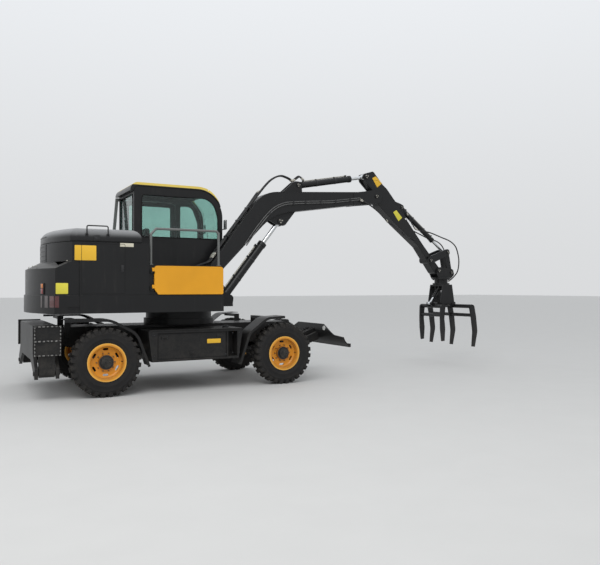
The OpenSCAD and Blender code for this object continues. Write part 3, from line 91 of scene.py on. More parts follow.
def m(x, y, z):
    """A point in slew-centred millimetres, as the frame's metres."""
    return Vector((SLEW[0] + x / 1000, y / 1000, z / 1000))


# Outlines and paths


def rounded(rows, step=14):
    """A closed outline with its corners rounded: rows of x, z and radius."""
    points = []
    for i, (x, z, r) in enumerate(rows):
        here = Vector((x, z))
        if r <= 0:
            points.append(here)
            continue
        back = (Vector(rows[i - 1][:2]) - here).normalized()
        on = (Vector(rows[(i + 1) % len(rows)][:2]) - here).normalized()
        half = back.angle(on) / 2
        middle = here + (back + on).normalized() * (r / math.sin(half))
        first = here + back * (r / math.tan(half)) - middle
        start = math.atan2(first.y, first.x)
        turn = (math.pi - 2 * half) * (1 if back.x * on.y - back.y * on.x < 0 else -1)
        count = max(2, math.ceil(abs(math.degrees(turn)) / step))
        for k in range(count + 1):
            angle = start + turn * k / count
            points.append(middle + Vector((math.cos(angle), math.sin(angle))) * r)
    return [(p.x, p.y) for p in points]


def bent(points, r):
    """A path whose inner corners are bent to a radius."""
    steps = 5
    points = [Vector(p) for p in points]
    path = [points[0]]
    for before, here, after in zip(points, points[1:], points[2:]):
        back, on = before - here, after - here
        reach = min(r, back.length * 0.45, on.length * 0.45)
        a, b = here + back.normalized() * reach, here + on.normalized() * reach
        for k in range(steps + 1):
            t = k / steps
            path.append(a * (1 - t) ** 2 + here * 2 * t * (1 - t) + b * t * t)
    return path + [points[-1]]


def flowing(points):
    """A smooth curve through every point, as a hose lies."""
    steps = 7
    points = [Vector(p) for p in points]
    ends = [points[0] * 2 - points[1]] + points + [points[-1] * 2 - points[-2]]
    path = []
    for a, b, c, d in zip(ends, ends[1:], ends[2:], ends[3:]):
        for k in range(steps):
            t = k / steps
            path.append(0.5 * (2 * b + (c - a) * t + (2 * a - 5 * b + 4 * c - d) * t * t
                               + (3 * b - a - 3 * c + d) * t ** 3))
    return path + [points[-1]]


def facing(origin, along, spin=0.0):
    """A matrix whose Z lies along a direction, at an origin."""
    z = Vector(along).normalized()
    x = (Vector((0, 0, 1)) if abs(z.z) < 0.9 else Vector((1, 0, 0))).cross(z).normalized()
    turn = Matrix((x, z.cross(x), z)).transposed() @ Matrix.Rotation(spin, 3, "Z")
    return Matrix.Translation(origin) @ turn.to_4x4()


# Meshes


def shaded(mesh, limit=32):
    """Merges, turns faces outwards and marks edges sharper than the limit."""
    bm = bmesh.new()
    bm.from_mesh(mesh)
    bmesh.ops.remove_doubles(bm, verts=bm.verts[:], dist=2e-5)
    bmesh.ops.dissolve_degenerate(bm, dist=1e-5, edges=bm.edges[:])
    bmesh.ops.recalc_face_normals(bm, faces=bm.faces[:])
    for face in bm.faces:
        face.smooth = True
    for edge in bm.edges:
        edge.smooth = len(edge.link_faces) == 2 and edge.calc_face_angle(0) < math.radians(limit)
    bm.to_mesh(mesh)
    bm.free()


def owned(name, mesh, body, finish=None):
    """Makes a mesh a piece that rides on a body, in a finish of the palette."""
    piece = bpy.data.objects.new(name, mesh)
    bpy.context.scene.collection.objects.link(piece)
    if finish:
        mesh.materials.clear()
        mesh.materials.append(PALETTE[finish])
    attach(piece, body)
    return piece


class Shape:
    """Gathers solids in slew-centred millimetres and hands them over as one piece."""

    def __init__(self):
        self.verts, self.faces = [], []
        self.at = Matrix.Identity(4)

    def put(self, verts, faces):
        base = len(self.verts)
        self.verts += [self.at @ Vector(v) for v in verts]
        self.faces += [[base + i for i in face] for face in faces]
        return self

    def absorb(self, bm):
        bm.verts.index_update()
        self.put([v.co.copy() for v in bm.verts], [[v.index for v in f.verts] for f in bm.faces])
        bm.free()
        return self

    def block(self, low, high, r=0.0, steps=2):
        """A box with rounded edges."""
        low, high = Vector(low), Vector(high)
        bm = bmesh.new()
        bmesh.ops.create_cube(bm, size=1.0)
        for v in bm.verts:
            v.co = Vector([v.co[i] * (high[i] - low[i]) + (high[i] + low[i]) / 2 for i in range(3)])
        if r:
            bmesh.ops.bevel(bm, geom=bm.edges[:], offset=r, segments=steps, profile=0.5,
                            affect="EDGES", clamp_overlap=True)
        return self.absorb(bm)

    def prism(self, outline, low, high, plane="xz", r=0.0):
        """An outline drawn out along the axis that its plane leaves, with softened rims."""
        place = {"xz": lambda a, b, t: (a, t, b), "yz": lambda a, b, t: (t, a, b),
                 "xy": lambda a, b, t: (a, b, t)}[plane]
        bm = bmesh.new()
        rings = [[bm.verts.new(place(a, b, t)) for a, b in outline] for t in (low, high)]
        caps = [bm.faces.new(rings[0]), bm.faces.new(rings[1])]
        count = len(outline)
        for i in range(count):
            j = (i + 1) % count
            bm.faces.new((rings[0][i], rings[0][j], rings[1][j], rings[1][i]))
        if r:
            bmesh.ops.recalc_face_normals(bm, faces=bm.faces[:])
            rims = list({e for cap in caps for e in cap.edges})
            bmesh.ops.bevel(bm, geom=rims, offset=r, segments=2, profile=0.5,
                            affect="EDGES", clamp_overlap=True)
        return self.absorb(bm)

    def lathe(self, rows, origin=(0, 0, 0), along=(0, 0, 1), n=28, closed=False):
        """Rows of radius and height turned about an axis."""
        at = facing(origin, along)
        verts = [at @ Vector((r * math.cos(math.tau * k / n), r * math.sin(math.tau * k / n), h))
                 for r, h in rows for k in range(n)]
        faces = []
        for i in range(len(rows) if closed else len(rows) - 1):
            a, b = i * n, (i + 1) % len(rows) * n
            faces += [[a + k, a + (k + 1) % n, b + (k + 1) % n, b + k] for k in range(n)]
        if not closed:
            faces += [list(range(n)), list(range((len(rows) - 1) * n, len(rows) * n))]
        return self.put(verts, faces)

    def bar(self, a, b, r, n):
        """A round bar between two points, with chamfered ends."""
        a, b = Vector(a), Vector(b)
        length = (b - a).length
        rim = r * 0.12
        return self.lathe([(r - rim, 0), (r, rim), (r, length - rim), (r - rim, length)], a, b - a, n)

    def mesh(self, name, limit=32, local=False):
        made = bpy.data.meshes.new(name)
        made.from_pydata([v / 1000 if local else m(*v) for v in self.verts], [], self.faces)
        shaded(made, limit)
        return made

    def done(self, name, body, slot, finish, limit=32):
        return owned(name, self.mesh(name, limit), body, finish)


# Node trees


class Wire:
    """An output socket whose operators add Math nodes to its tree."""

    def __init__(self, tree, socket):
        self.tree, self.socket = tree, socket

    def also(self, name):
        """Another output of the same node."""
        return Wire(self.tree, self.socket.node.outputs[name])

    def _math(self, operation, first, second):
        return self.tree.node("ShaderNodeMath", {"operation": operation}, {0: first, 1: second})

    def __add__(self, other):
        return self._math("ADD", self, other)

    __radd__ = __add__

    def __sub__(self, other):
        return self._math("SUBTRACT", self, other)

    def __rsub__(self, other):
        return self._math("SUBTRACT", other, self)

    def __mul__(self, other):
        return self._math("MULTIPLY", self, other)

    __rmul__ = __mul__

    def __truediv__(self, other):
        return self._math("DIVIDE", self, other)

    def __pow__(self, other):
        return self._math("POWER", self, other)

    def __abs__(self):
        return self._math("ABSOLUTE", self, None)


class Tree:
    """A node tree that is written as calls and expressions."""

    def __init__(self, tree):
        self.tree = tree

    def node(self, kind, settings=None, values=None, out=0):
        """Adds a node: its settings first, then the values or links of its sockets."""
        made = self.tree.nodes.new(kind)
        for key, value in (settings or {}).items():
            setattr(made, key, value)
        for key, value in (values or {}).items():
            if isinstance(value, Wire):
                self.tree.links.new(value.socket, made.inputs[key])
            elif value is not None:
                if isinstance(value, tuple) and made.inputs[key].type == "RGBA" and len(value) == 3:
                    value = (*value, 1.0)
                made.inputs[key].default_value = value
        return Wire(self, made.outputs[out]) if len(made.outputs) else made

    def mix(self, factor, first, second):
        """Blends two colours."""
        return self.node("ShaderNodeMix", {"data_type": "RGBA"}, {0: factor, 6: first, 7: second}, 2)

    def vector(self, operation, first, second, out=0):
        return self.node("ShaderNodeVectorMath", {"operation": operation}, {0: first, 1: second}, out)

    def steps(self, value, low, high, least=0.0, most=1.0):
        """Eases a value from least to most between two limits."""
        return self.node("ShaderNodeMapRange", {"interpolation_type": "SMOOTHSTEP"},
                         {0: value, 1: low, 2: high, 3: least, 4: most})

    def band(self, value, rise, top, fall, end):
        """Eases in between the first two limits and out between the last two."""
        return self.steps(value, rise, top) * (1 - self.steps(value, fall, end))

    def noise(self, where, scale, detail=3.0, rough=0.55, bend=0.0):
        return self.node("ShaderNodeTexNoise", None,
                         {"Vector": where, "Scale": scale, "Detail": detail, "Roughness": rough,
                          "Distortion": bend})

    def place(self):
        return self.node("ShaderNodeTexCoord", None, None, "Object")

    def parts(self, where):
        x = self.node("ShaderNodeSeparateXYZ", None, {0: where}, "X")
        return x, x.also("Y"), x.also("Z")

    def bump(self, height, strength, distance, normal=None):
        return self.node("ShaderNodeBump", None,
                         {"Height": height, "Strength": strength, "Distance": distance, "Normal": normal})

    def edges(self, reach):
        """A normal that rounds the corners, and a mask along them."""
        soft = self.node("ShaderNodeBevel", {"samples": 4}, {"Radius": reach})
        hard = self.node("ShaderNodeNewGeometry", None, None, "Normal")
        return soft, self.steps(1 - self.vector("DOT_PRODUCT", soft, hard, "Value"), 0.01, 0.2)

    def wheel_radius(self, where):
        """Distance from the nearer axle's line, in metres."""
        x, _, z = self.parts(where)
        near = self.node("ShaderNodeMath", {"operation": "MINIMUM"},
                         {0: abs(x - m(AXLE_X, 0, 0).x), 1: abs(x - m(-AXLE_X, 0, 0).x)})
        up = z - AXLE_Z / 1000
        return (near * near + up * up) ** 0.5


def fresh(name):
    """A new material and its tree, emptied."""
    material = bpy.data.materials.new(name)
    material.use_nodes = True
    material.node_tree.nodes.clear()
    return material, Tree(material.node_tree)


def surface(tree, sockets):
    """Closes a material with one Principled shader: fixed numbers and what varies."""
    shader = tree.node("ShaderNodeBsdfPrincipled", None, sockets)
    tree.node("ShaderNodeOutputMaterial", None, {0: shader})


def tinted(colour, factor):
    return tuple(min(1.0, c * factor) for c in colour)


# Finishes


def painted(name, colour, dust, gloss=0.36, dirt=0.6, wear=0.5, level=0.22, mask=None, reach=0.005):
    """Sprayed metal with fading, dust where it settles, run-off streaks and rubbed corners."""
    material, tree = fresh(name)
    where = tree.place()
    _, _, height = tree.parts(where)
    fade = tree.noise(where, 1.6, 3)
    patch = tree.noise(where, 8.0, 5, 0.62, 0.4)
    speck = tree.noise(where, 60.0, 4, 0.7)
    streak = tree.noise(tree.vector("MULTIPLY", where, (17.0, 17.0, 1.7)), 1.0, 4, 0.6, 0.5)
    up = tree.steps(tree.parts(tree.node("ShaderNodeTexCoord", None, None, "Normal"))[2], 0.3, 0.95)
    low = 1 - tree.steps(height, 0.25, 1.15)
    settled = (up * 0.5 + low * 0.55) * tree.steps(patch * 0.55 + speck * 0.45, 0.36, 0.62)
    film = tree.steps(streak, 0.5, 0.85) * tree.steps(patch, 0.35, 0.7) * 0.2 + settled
    dusty = tree.node("ShaderNodeMath", {"operation": "MULTIPLY", "use_clamp": True}, {0: film, 1: dirt})
    soft, rim = tree.edges(reach)
    rubbed = rim * tree.steps(patch * 0.5 + speck * 0.5, 0.5, 0.66) * wear
    shade = tree.mix(fade, tinted(colour, 0.8), tinted(colour, 1.2))
    if mask:
        shade = mask(tree, where, shade)
    shade = tree.mix(dusty, shade, dust)
    shade = tree.mix(rubbed, shade, BARE_STEEL)
    peel = tree.noise(where, 480.0, 2, 0.5)
    relief = tree.bump(peel * 0.5 + speck * dusty, 0.22, 0.0012, soft)
    surface(tree, {"Specular IOR Level": level, "Coat Roughness": 0.12,
                   "Base Color": shade,
                   "Roughness": fade * 0.1 + patch * 0.08 + dusty * 0.42 + (gloss - 0.08),
                   "Metallic": rubbed * 0.6, "Coat Weight": 0.12 * (1 - dusty), "Normal": relief})
    return material


def hood_sky_reflection_and_dust_mask(tree, where, shade):
    """Painted sky reflection, with a little fine dust, lightening the rounded top where it faces up."""
    soft = tree.node("ShaderNodeBevel", {"samples": 8}, {"Radius": 0.035})
    own = tree.node("ShaderNodeVectorTransform", {"vector_type": "NORMAL", "convert_from": "WORLD",
                                                  "convert_to": "OBJECT"}, {0: soft})
    film = tree.steps(tree.parts(own)[2], 0.06, 0.8) * (0.82 + tree.noise(where, 5.0, 4) * 0.3)
    # Pale grey mixed in on up-facing paint: a painted sky reflection, with some dust
    return tree.mix(film * 0.9, shade, (0.25, 0.252, 0.255))


def pad_mask(tree, where, shade):
    """Steel worn bright along the teeth that stand on the ground."""
    _, y, _ = tree.parts(where)
    ends = tree.steps(abs(y), PAD_FACE / 1000, PAD_FACE / 1000 + 0.0055)
    worn = ends * tree.steps(tree.noise(where, 34.0, 4, 0.6), 0.36, 0.52)
    return tree.mix(worn * 0.9, shade, (0.24, 0.235, 0.225))


def roof_mask(tree, where, shade):
    """Black frame below the roof's yellow edge, which follows the front bend."""
    x, _, z = tree.parts(where)
    ahead = tree.node("ShaderNodeMath", {"operation": "MAXIMUM"}, {0: x - m(*ROOF_BEND).x, 1: 0.0})
    up = z - m(*ROOF_BEND).z
    reach = (ahead * ahead + up * up) ** 0.5
    return tree.mix(tree.steps(reach, ROOF_R / 1000 - 0.001, ROOF_R / 1000 + 0.001), BLACK, shade)


def rim_mask(tree, where, shade):
    """Black hub and nuts, a painted highlight on the flange, and darker brown blotches where the dish meets
    the bead.
    """
    radius = tree.wheel_radius(where)
    hub = 1 - tree.steps(radius, *RIM_HUB)
    _, y, _ = tree.parts(where)
    proud = tree.steps(abs(y), *NUT_FACE) * tree.band(radius, *RIM_NUTS)
    shade = tree.mix(hub, shade, (0.016, 0.016, 0.017))
    shade = tree.mix(proud * 0.85, shade, (0.10, 0.075, 0.05))
    crease = tree.band(radius, *RIM_CREASE)
    shade = tree.mix(crease * tree.noise(where, 26.0, 4, 0.65) * 0.7, shade, (0.16, 0.10, 0.05))
    # Lighter copy of the rim paint on the flange: a painted highlight
    return tree.mix(tree.steps(radius, *RIM_FLANGE_HIGHLIGHT) * 0.5, shade, (0.86, 0.58, 0.16))


def bright_rod():
    """Hard chrome with a thin oil film and fine turning rings."""
    material, tree = fresh("Chromed rod")
    where = tree.place()
    film = tree.noise(where, 14.0, 4, 0.6)
    rings = tree.noise(where, 340.0, 2, 0.4)
    surface(tree, {"Metallic": 1.0, "IOR": 2.2,
                   "Base Color": tree.mix(tree.steps(film, 0.4, 0.7), (0.74, 0.76, 0.78), (0.60, 0.60, 0.58)),
                   "Roughness": tree.steps(film, 0.35, 0.75, 0.1, 0.26),
                   "Normal": tree.bump(rings, 0.04, 0.0004)})
    return material


def tyre_rubber(dust):
    """Carcass and lugs: dull black, dusty on the treads and in rings on the sidewall."""
    material, tree = fresh("Tyre rubber")
    where = tree.place()
    radius = tree.wheel_radius(where)
    blot = tree.noise(where, 11.0, 5, 0.65, 0.3)
    grit = tree.noise(where, 130.0, 3, 0.7)
    tread = tree.steps(radius, *TYRE_TREAD)
    groove = tree.steps(radius, *TYRE_WALL) * (1 - tread)
    walls = tree.steps(blot, 0.42, 0.66) * 0.16
    rings = tree.node("ShaderNodeMath", {"operation": "SINE"}, {0: radius * 420.0})
    dirt = tread * (grit * 0.5 + blot * 0.35 + 0.02) + groove * blot * 0.25 + walls
    shade = tree.mix(tree.noise(where, 3.0, 2), (0.0125, 0.0125, 0.013), (0.022, 0.021, 0.021))
    shade = tree.mix(dirt * 0.42, shade, tinted(dust, 0.7))
    relief = tree.bump(rings * 0.12 * (1 - tread) + grit * 0.6 + blot * 0.4, 0.4, 0.0014)
    surface(tree, {"Specular IOR Level": 0.18,
                   "Base Color": shade, "Roughness": tree.steps(blot, 0.3, 0.7, 0.68, 0.9), "Normal": relief})
    return material


def window_glass(tint):
    """Tinted safety glass: clear to the lamps, with a faint dust film in patches."""
    material, tree = fresh("Tinted glass")
    where = tree.place()
    film = tree.noise(where, 5.0, 4, 0.6)
    shader = tree.node("ShaderNodeBsdfPrincipled", None,
                       {"Base Color": tree.mix(tree.steps(film, 0.35, 0.75) * 0.4, tint, tinted(tint, 0.86)),
                        "Roughness": tree.steps(film, 0.4, 0.8, 0.0, 0.008), "IOR": 1.45,
                        "Transmission Weight": 1.0, "Specular IOR Level": 0.5})
    clear = tree.node("ShaderNodeBsdfTransparent", None, {0: tinted(tint, 0.95)})
    shadow = tree.node("ShaderNodeLightPath", None, None, "Is Shadow Ray")
    both = tree.node("ShaderNodeMixShader", None, {0: shadow, 1: shader, 2: clear})
    tree.node("ShaderNodeOutputMaterial", None, {0: both})
    return material


def seat_cloth():
    """Woven dark seat cloth with a fine twill and a soft sheen."""
    material, tree = fresh("Seat cloth")
    where = tree.place()
    across = tree.node("ShaderNodeTexWave", {"bands_direction": "DIAGONAL"},
                       {"Vector": where, "Scale": 210.0, "Distortion": 0.6, "Detail": 1.0}, "Fac")
    along = tree.node("ShaderNodeTexWave", {"bands_direction": "Z"},
                      {"Vector": where, "Scale": 260.0, "Distortion": 0.4, "Detail": 1.0}, "Fac")
    worn = tree.noise(where, 9.0, 4)
    weave = across * 0.6 + along * 0.4
    shade = tree.mix(weave, (0.018, 0.019, 0.022), (0.06, 0.062, 0.068))
    shade = tree.mix(tree.steps(worn, 0.45, 0.75) * 0.35, shade, (0.11, 0.105, 0.10))
    surface(tree, {"Sheen Weight": 0.35, "Sheen Roughness": 0.45, "Specular IOR Level": 0.25,
                   "Base Color": shade, "Roughness": tree.steps(worn, 0.3, 0.7, 0.8, 0.95),
                   "Normal": tree.bump(weave + worn * 0.3, 0.5, 0.0009)})
    return material


def grained(name, colour, scale=360.0, rough=0.5, level=0.35, relief=0.3):
    """Moulded plastic or rubber with a pebbled skin."""
    material, tree = fresh(name)
    where = tree.place()
    cells = tree.node("ShaderNodeTexVoronoi", None, {"Vector": where, "Scale": scale, "Randomness": 0.9})
    smear = tree.noise(where, 7.0, 4, 0.6)
    chalk = tree.steps(smear, 0.45, 0.8)
    surface(tree, {"Specular IOR Level": level,
                   "Base Color": tree.mix(chalk * 0.5, colour, tinted(colour, 2.4)),
                   "Roughness": tree.steps(smear, 0.3, 0.75, rough - 0.08, rough + 0.16),
                   "Normal": tree.bump(cells, relief, 0.0008)})
    return material


def hose_cover():
    """Rubber hose cover with the wrap marks of its curing tape."""
    material, tree = fresh("Hose cover")
    where = tree.place()
    wrap = tree.node("ShaderNodeTexWave", {"bands_direction": "DIAGONAL"},
                     {"Vector": where, "Scale": 60.0, "Distortion": 1.5, "Detail": 2.0}, "Fac")
    dirt = tree.noise(where, 12.0, 4, 0.6)
    surface(tree, {"Specular IOR Level": 0.35,
                   "Base Color": tree.mix(tree.steps(dirt, 0.45, 0.8), (0.011, 0.011, 0.012),
                                          (0.05, 0.046, 0.04)),
                   "Roughness": tree.steps(dirt, 0.3, 0.7, 0.42, 0.7),
                   "Normal": tree.bump(wrap, 0.25, 0.0008)})
    return material


def metal(name, light, dark, rough=0.35, metallic=0.9, rust=0.0):
    """Plated, cast or worn metal, blotched, with rust where it is asked for."""
    material, tree = fresh(name)
    where = tree.place()
    blot = tree.noise(where, 24.0, 5, 0.65)
    fine = tree.noise(where, 170.0, 4, 0.6)
    shade = tree.mix(tree.steps(blot, 0.35, 0.7), light, dark)
    shade = tree.mix(tree.steps(blot * 0.5 + fine * 0.5, 0.5, 0.66) * rust, shade, (0.14, 0.055, 0.02))
    soft, _ = tree.edges(0.002)
    surface(tree, {"Specular IOR Level": 0.4,
                   "Base Color": shade, "Metallic": metallic - tree.steps(blot, 0.5, 0.7) * rust * metallic,
                   "Roughness": tree.steps(fine, 0.3, 0.7, rough - 0.08, rough + 0.14),
                   "Normal": tree.bump(fine, 0.2, 0.001, soft)})
    return material


def label_film(name, colour):
    """Self-adhesive vinyl, blank, a little faded and dusty."""
    material, tree = fresh(name)
    where = tree.place()
    fade = tree.noise(where, 6.0, 4, 0.6)
    dust = tree.noise(where, 60.0, 3, 0.6)
    shade = tree.mix(fade * 0.6, colour, tinted(colour, 0.78))
    surface(tree, {"Specular IOR Level": 0.4,
                   "Base Color": tree.mix(tree.steps(dust, 0.55, 0.8) * 0.3, shade, (0.30, 0.27, 0.22)),
                   "Roughness": tree.steps(fade, 0.3, 0.7, 0.3, 0.5),
                   "Normal": tree.bump(fade, 0.12, 0.001)})
    return material


def prismatic(name, colour):
    """Reflector or lens plastic with small facets under a clear skin."""
    material, tree = fresh(name)
    where = tree.place()
    cells = tree.node("ShaderNodeTexVoronoi", {"feature": "F1"},
                      {"Vector": where, "Scale": 190.0, "Randomness": 0.15})
    shade = tree.mix(tree.steps(cells, 0.1, 0.7), tinted(colour, 1.5), tinted(colour, 0.6))
    surface(tree, {"Specular IOR Level": 0.6, "Coat Roughness": 0.04,
                   "Base Color": shade, "Roughness": tree.steps(cells, 0.0, 0.8, 0.1, 0.3),
                   "Coat Weight": tree.steps(tree.noise(where, 30.0), 0.3, 0.7, 0.6, 1.0),
                   "Normal": tree.bump(cells, 0.35, 0.0012)})
    return material


PALETTE = {}


def finish_palette(settings):
    """Makes every finish once."""
    dust = tuple(settings.dust_colour)
    black, yellow = tuple(settings.body_colour), tuple(settings.accent_colour)
    PALETTE.update(
        black=painted("Black paint", black, dust, dirt=settings.dust),
        chassis=painted("Chassis paint", tinted(black, 0.95), dust, 0.46, settings.dust * 0.45, 0.8, 0.2),
        pad=painted("Outrigger paint", black, dust, 0.46, settings.dust * 0.7, 1.0, 0.2, pad_mask),
        boom=painted("Boom paint", tinted(black, 1.25), dust, 0.34, settings.dust * 0.6, 0.5),
        # The hood's mask paints a sky reflection onto its rounded top
        hood=painted("Hood paint", black, dust, 0.3, settings.dust * 0.4, 0.0, 0.3, hood_sky_reflection_and_dust_mask, 0.03),
        rail=painted("Rail paint", (0.13, 0.135, 0.13), dust, 0.34, settings.dust, 0.9, 0.4),
        yellow=painted("Panel yellow", yellow, dust, 0.32, settings.dust * 0.35, 0.5, 0.22),
        roof=painted("Roof edge yellow", (0.74, 0.56, 0.12), dust, 0.34, settings.dust * 0.5, 0.4, 0.25,
                     roof_mask),
        rim=painted("Rim paint", tuple(settings.rim_colour), dust, 0.36, settings.dust * 0.5, 0.6, 0.25,
                    rim_mask),
        engine=painted("Engine grey", (0.07, 0.075, 0.08), dust, 0.5, settings.dust, 0.4),
        chrome=bright_rod(),
        rubber=tyre_rubber(dust),
        glass=window_glass(tuple(settings.glass_tint)),
        cloth=seat_cloth(),
        plastic=grained("Moulded plastic", (0.016, 0.016, 0.017)),
        grey_plastic=grained("Console plastic", (0.05, 0.052, 0.055), 300.0, 0.48),
        seal=grained("Window seal", (0.008, 0.008, 0.008), 600.0, 0.6, 0.25, 0.2),
        hose=hose_cover(),
        cast=metal("Cast steel", (0.045, 0.044, 0.043), (0.025, 0.025, 0.025), 0.5, 0.35, 0.12),
        zinc=metal("Zinc plate", (0.52, 0.50, 0.44), (0.36, 0.34, 0.29), 0.34, 0.85, 0.1),
        pipe=metal("Pipe steel", (0.035, 0.036, 0.038), (0.022, 0.022, 0.023), 0.36, 0.4, 0.05),
        # Mid grey pipe colour: a painted highlight for the light line along the boom's pipes
        line=metal("Pipe grey with painted highlight", (0.12, 0.12, 0.118), (0.07, 0.07, 0.07), 0.42, 0.3, 0.04),
        worn=metal("Worn steel", (0.34, 0.33, 0.31), (0.20, 0.19, 0.175), 0.42, 0.7, 0.35),
        label_yellow=label_film("Yellow label", (0.80, 0.47, 0.03)),
        label_lemon=label_film("Lemon label", (0.70, 0.62, 0.06)),
        label_pale=label_film("Pale label", (0.62, 0.58, 0.46)),
        label_white=label_film("White label", (0.72, 0.72, 0.70)),
        # White reflector film painted dark grey: painted shade, and the grey look such film has without
        # direct light
        label_shade=label_film("Pale reflector in painted shade", (0.12, 0.105, 0.105)),
        # Red reflector painted dark red: painted shade
        deep_red=prismatic("Red reflector in painted shade", (0.075, 0.008, 0.009)),
        red=prismatic("Red lens", (0.20, 0.012, 0.010)),
        amber=prismatic("Amber lens", (0.55, 0.16, 0.01)),
        screen=prismatic("Monitor face", (0.02, 0.035, 0.045)),
    )


NODE_FINISH = {
    "chassis": "chassis_frame front_fenders rear_fenders running_boards outrigger_frame dozer_blade "
               "knuckle_left knuckle_right lashing_eyes",
    "pad": "outrigger_leg_left outrigger_leg_right",
    "cast": "rear_axle front_axle driveline",
    "hood": "hood",
    "rail": "handrails",
    "black": "counterweight body_sides swing_frame cab_shell cab_door outrigger_barrel_left "
             "outrigger_barrel_right blade_barrels",
    "boom": "boom arm boom_barrel arm_barrel tilt_barrel rocker tilt_link grapple_head grapple_frame "
            "jaw_front jaw_rear jaw_barrel_front jaw_barrel_rear",
    "yellow": "toolbox_door",
    "roof": "cab_roof",
    "engine": "engine",
    "plastic": "cab_fittings",
    "glass": "cab_glass door_glass",
    "chrome": "boom_rod arm_rod tilt_rod jaw_rod_front jaw_rod_rear outrigger_rod_left outrigger_rod_right "
              "blade_rods",
    "rim": "rim_rear_left rim_rear_right rim_front_left rim_front_right",
    "rubber": "tyre_rear_left tyre_rear_right tyre_front_left tyre_front_right",
    "cloth": "seat",
}


# Geometry Nodes


class Growth:
    """A Geometry Nodes tree with named inputs that a base mesh is grown by."""

    def __init__(self, name, **sizes):
        self.group = bpy.data.node_groups.new(name, "GeometryNodeTree")
        face = self.group.interface
        self.keys = {}
        for label, kind in {"Geometry": "Geometry", **sizes, "Finish": "Material"}.items():
            socket = face.new_socket(label, in_out="INPUT", socket_type="NodeSocket" + kind)
            self.keys[label] = socket.identifier
        face.new_socket("Geometry", in_out="OUTPUT", socket_type="NodeSocketGeometry")
        self.tree = Tree(self.group)
        self.given = self.tree.node("NodeGroupInput")

    def size(self, label):
        return self.given.also(label)

    def close(self, geometry):
        """Ends the tree: real geometry with its material."""
        real = self.tree.node("GeometryNodeRealizeInstances", None, {0: geometry})
        done = self.tree.node("GeometryNodeSetMaterial", None,
                              {"Geometry": real, "Material": self.size("Finish")})
        self.tree.node("NodeGroupOutput", None, {0: done})
        return self

    def grow(self, name, base, body, slot, **sizes):
        """Sets the inputs by identifier, evaluates, and hands over a plain mesh on one body."""
        holder = bpy.data.objects.new(name + "_base", base)
        bpy.context.scene.collection.objects.link(holder)
        modifier = holder.modifiers.new("Growth", "NODES")
        modifier.node_group = self.group
        for label, value in sizes.items():
            modifier[self.keys[label]] = value
        bpy.context.view_layer.update()
        grown = holder.evaluated_get(bpy.context.evaluated_depsgraph_get())
        mesh = bpy.data.meshes.new_from_object(grown)
        mesh.name = name
        holder.modifiers.clear()
        bpy.data.objects.remove(holder)
        if not mesh.polygons:
            raise RuntimeError(name + " grew no faces")
        return owned(name, mesh, body)


GROWTHS = {}


def wheel_ring():
    """Carries a lug round the axle, once on each shoulder."""
    if "ring" not in GROWTHS:
        growth = Growth("Lug ring", Lug="Object", Other="Object", Count="Int", Centre="Vector")
        tree, rings = growth.tree, []
        for label, start in (("Lug", 0.0), ("Other", 0.5)):
            points = tree.node("GeometryNodePoints", None,
                               {"Count": growth.size("Count"), "Position": growth.size("Centre")})
            turn = (tree.node("GeometryNodeInputIndex") + start) / growth.size("Count") * math.tau
            lug = tree.node("GeometryNodeObjectInfo", None, {"Object": growth.size(label)}, "Geometry")
            rotation = tree.node("ShaderNodeCombineXYZ", None, {"Y": turn})
            rings.append(tree.node("GeometryNodeInstanceOnPoints", None,
                                   {"Points": points, "Instance": lug, "Rotation": rotation}))
        joined = tree.tree.nodes.new("GeometryNodeJoinGeometry")
        for ring in [growth.size("Geometry"), *rings]:
            tree.tree.links.new(ring.socket, joined.inputs[0])
        GROWTHS["ring"] = growth.close(Wire(tree, joined.outputs[0]))
    return GROWTHS["ring"]


def scatter(name, unit, places, body, slot, finish):
    """Sets one small shape at many places: rows of point, direction, spin and size."""
    if "copies" not in GROWTHS:
        growth = Growth("Small parts", Part="Object")
        tree = growth.tree
        part = tree.node("GeometryNodeObjectInfo", None, {"Object": growth.size("Part")}, "Geometry")
        turn = tree.node("GeometryNodeInputNamedAttribute", {"data_type": "FLOAT_VECTOR"}, {"Name": "turn"})
        size = tree.node("GeometryNodeInputNamedAttribute", {"data_type": "FLOAT"}, {"Name": "size"})
        GROWTHS["copies"] = growth.close(tree.node("GeometryNodeInstanceOnPoints", None,
                                                   {"Points": growth.size("Geometry"), "Instance": part,
                                                    "Rotation": turn, "Scale": size}))
    base = bpy.data.meshes.new(name + "_points")
    base.from_pydata([m(*row[0]) for row in places], [], [])
    base.attributes.new("turn", "FLOAT_VECTOR", "POINT")
    base.attributes.new("size", "FLOAT", "POINT")
    turns = [facing((0, 0, 0), row[1], row[2] if len(row) > 2 else 0.0).to_euler() for row in places]
    base.attributes["turn"].data.foreach_set("vector", [angle for turn in turns for angle in turn])
    base.attributes["size"].data.foreach_set("value", [row[3] if len(row) > 3 else 1.0 for row in places])
    part = bpy.data.objects.new(name + "_unit", unit.mesh(name + "_unit", local=True))
    bpy.context.scene.collection.objects.link(part)
    piece = GROWTHS["copies"].grow(name, base, body, slot, Part=part, Finish=PALETTE[finish])
    bpy.data.objects.remove(part)
    return piece


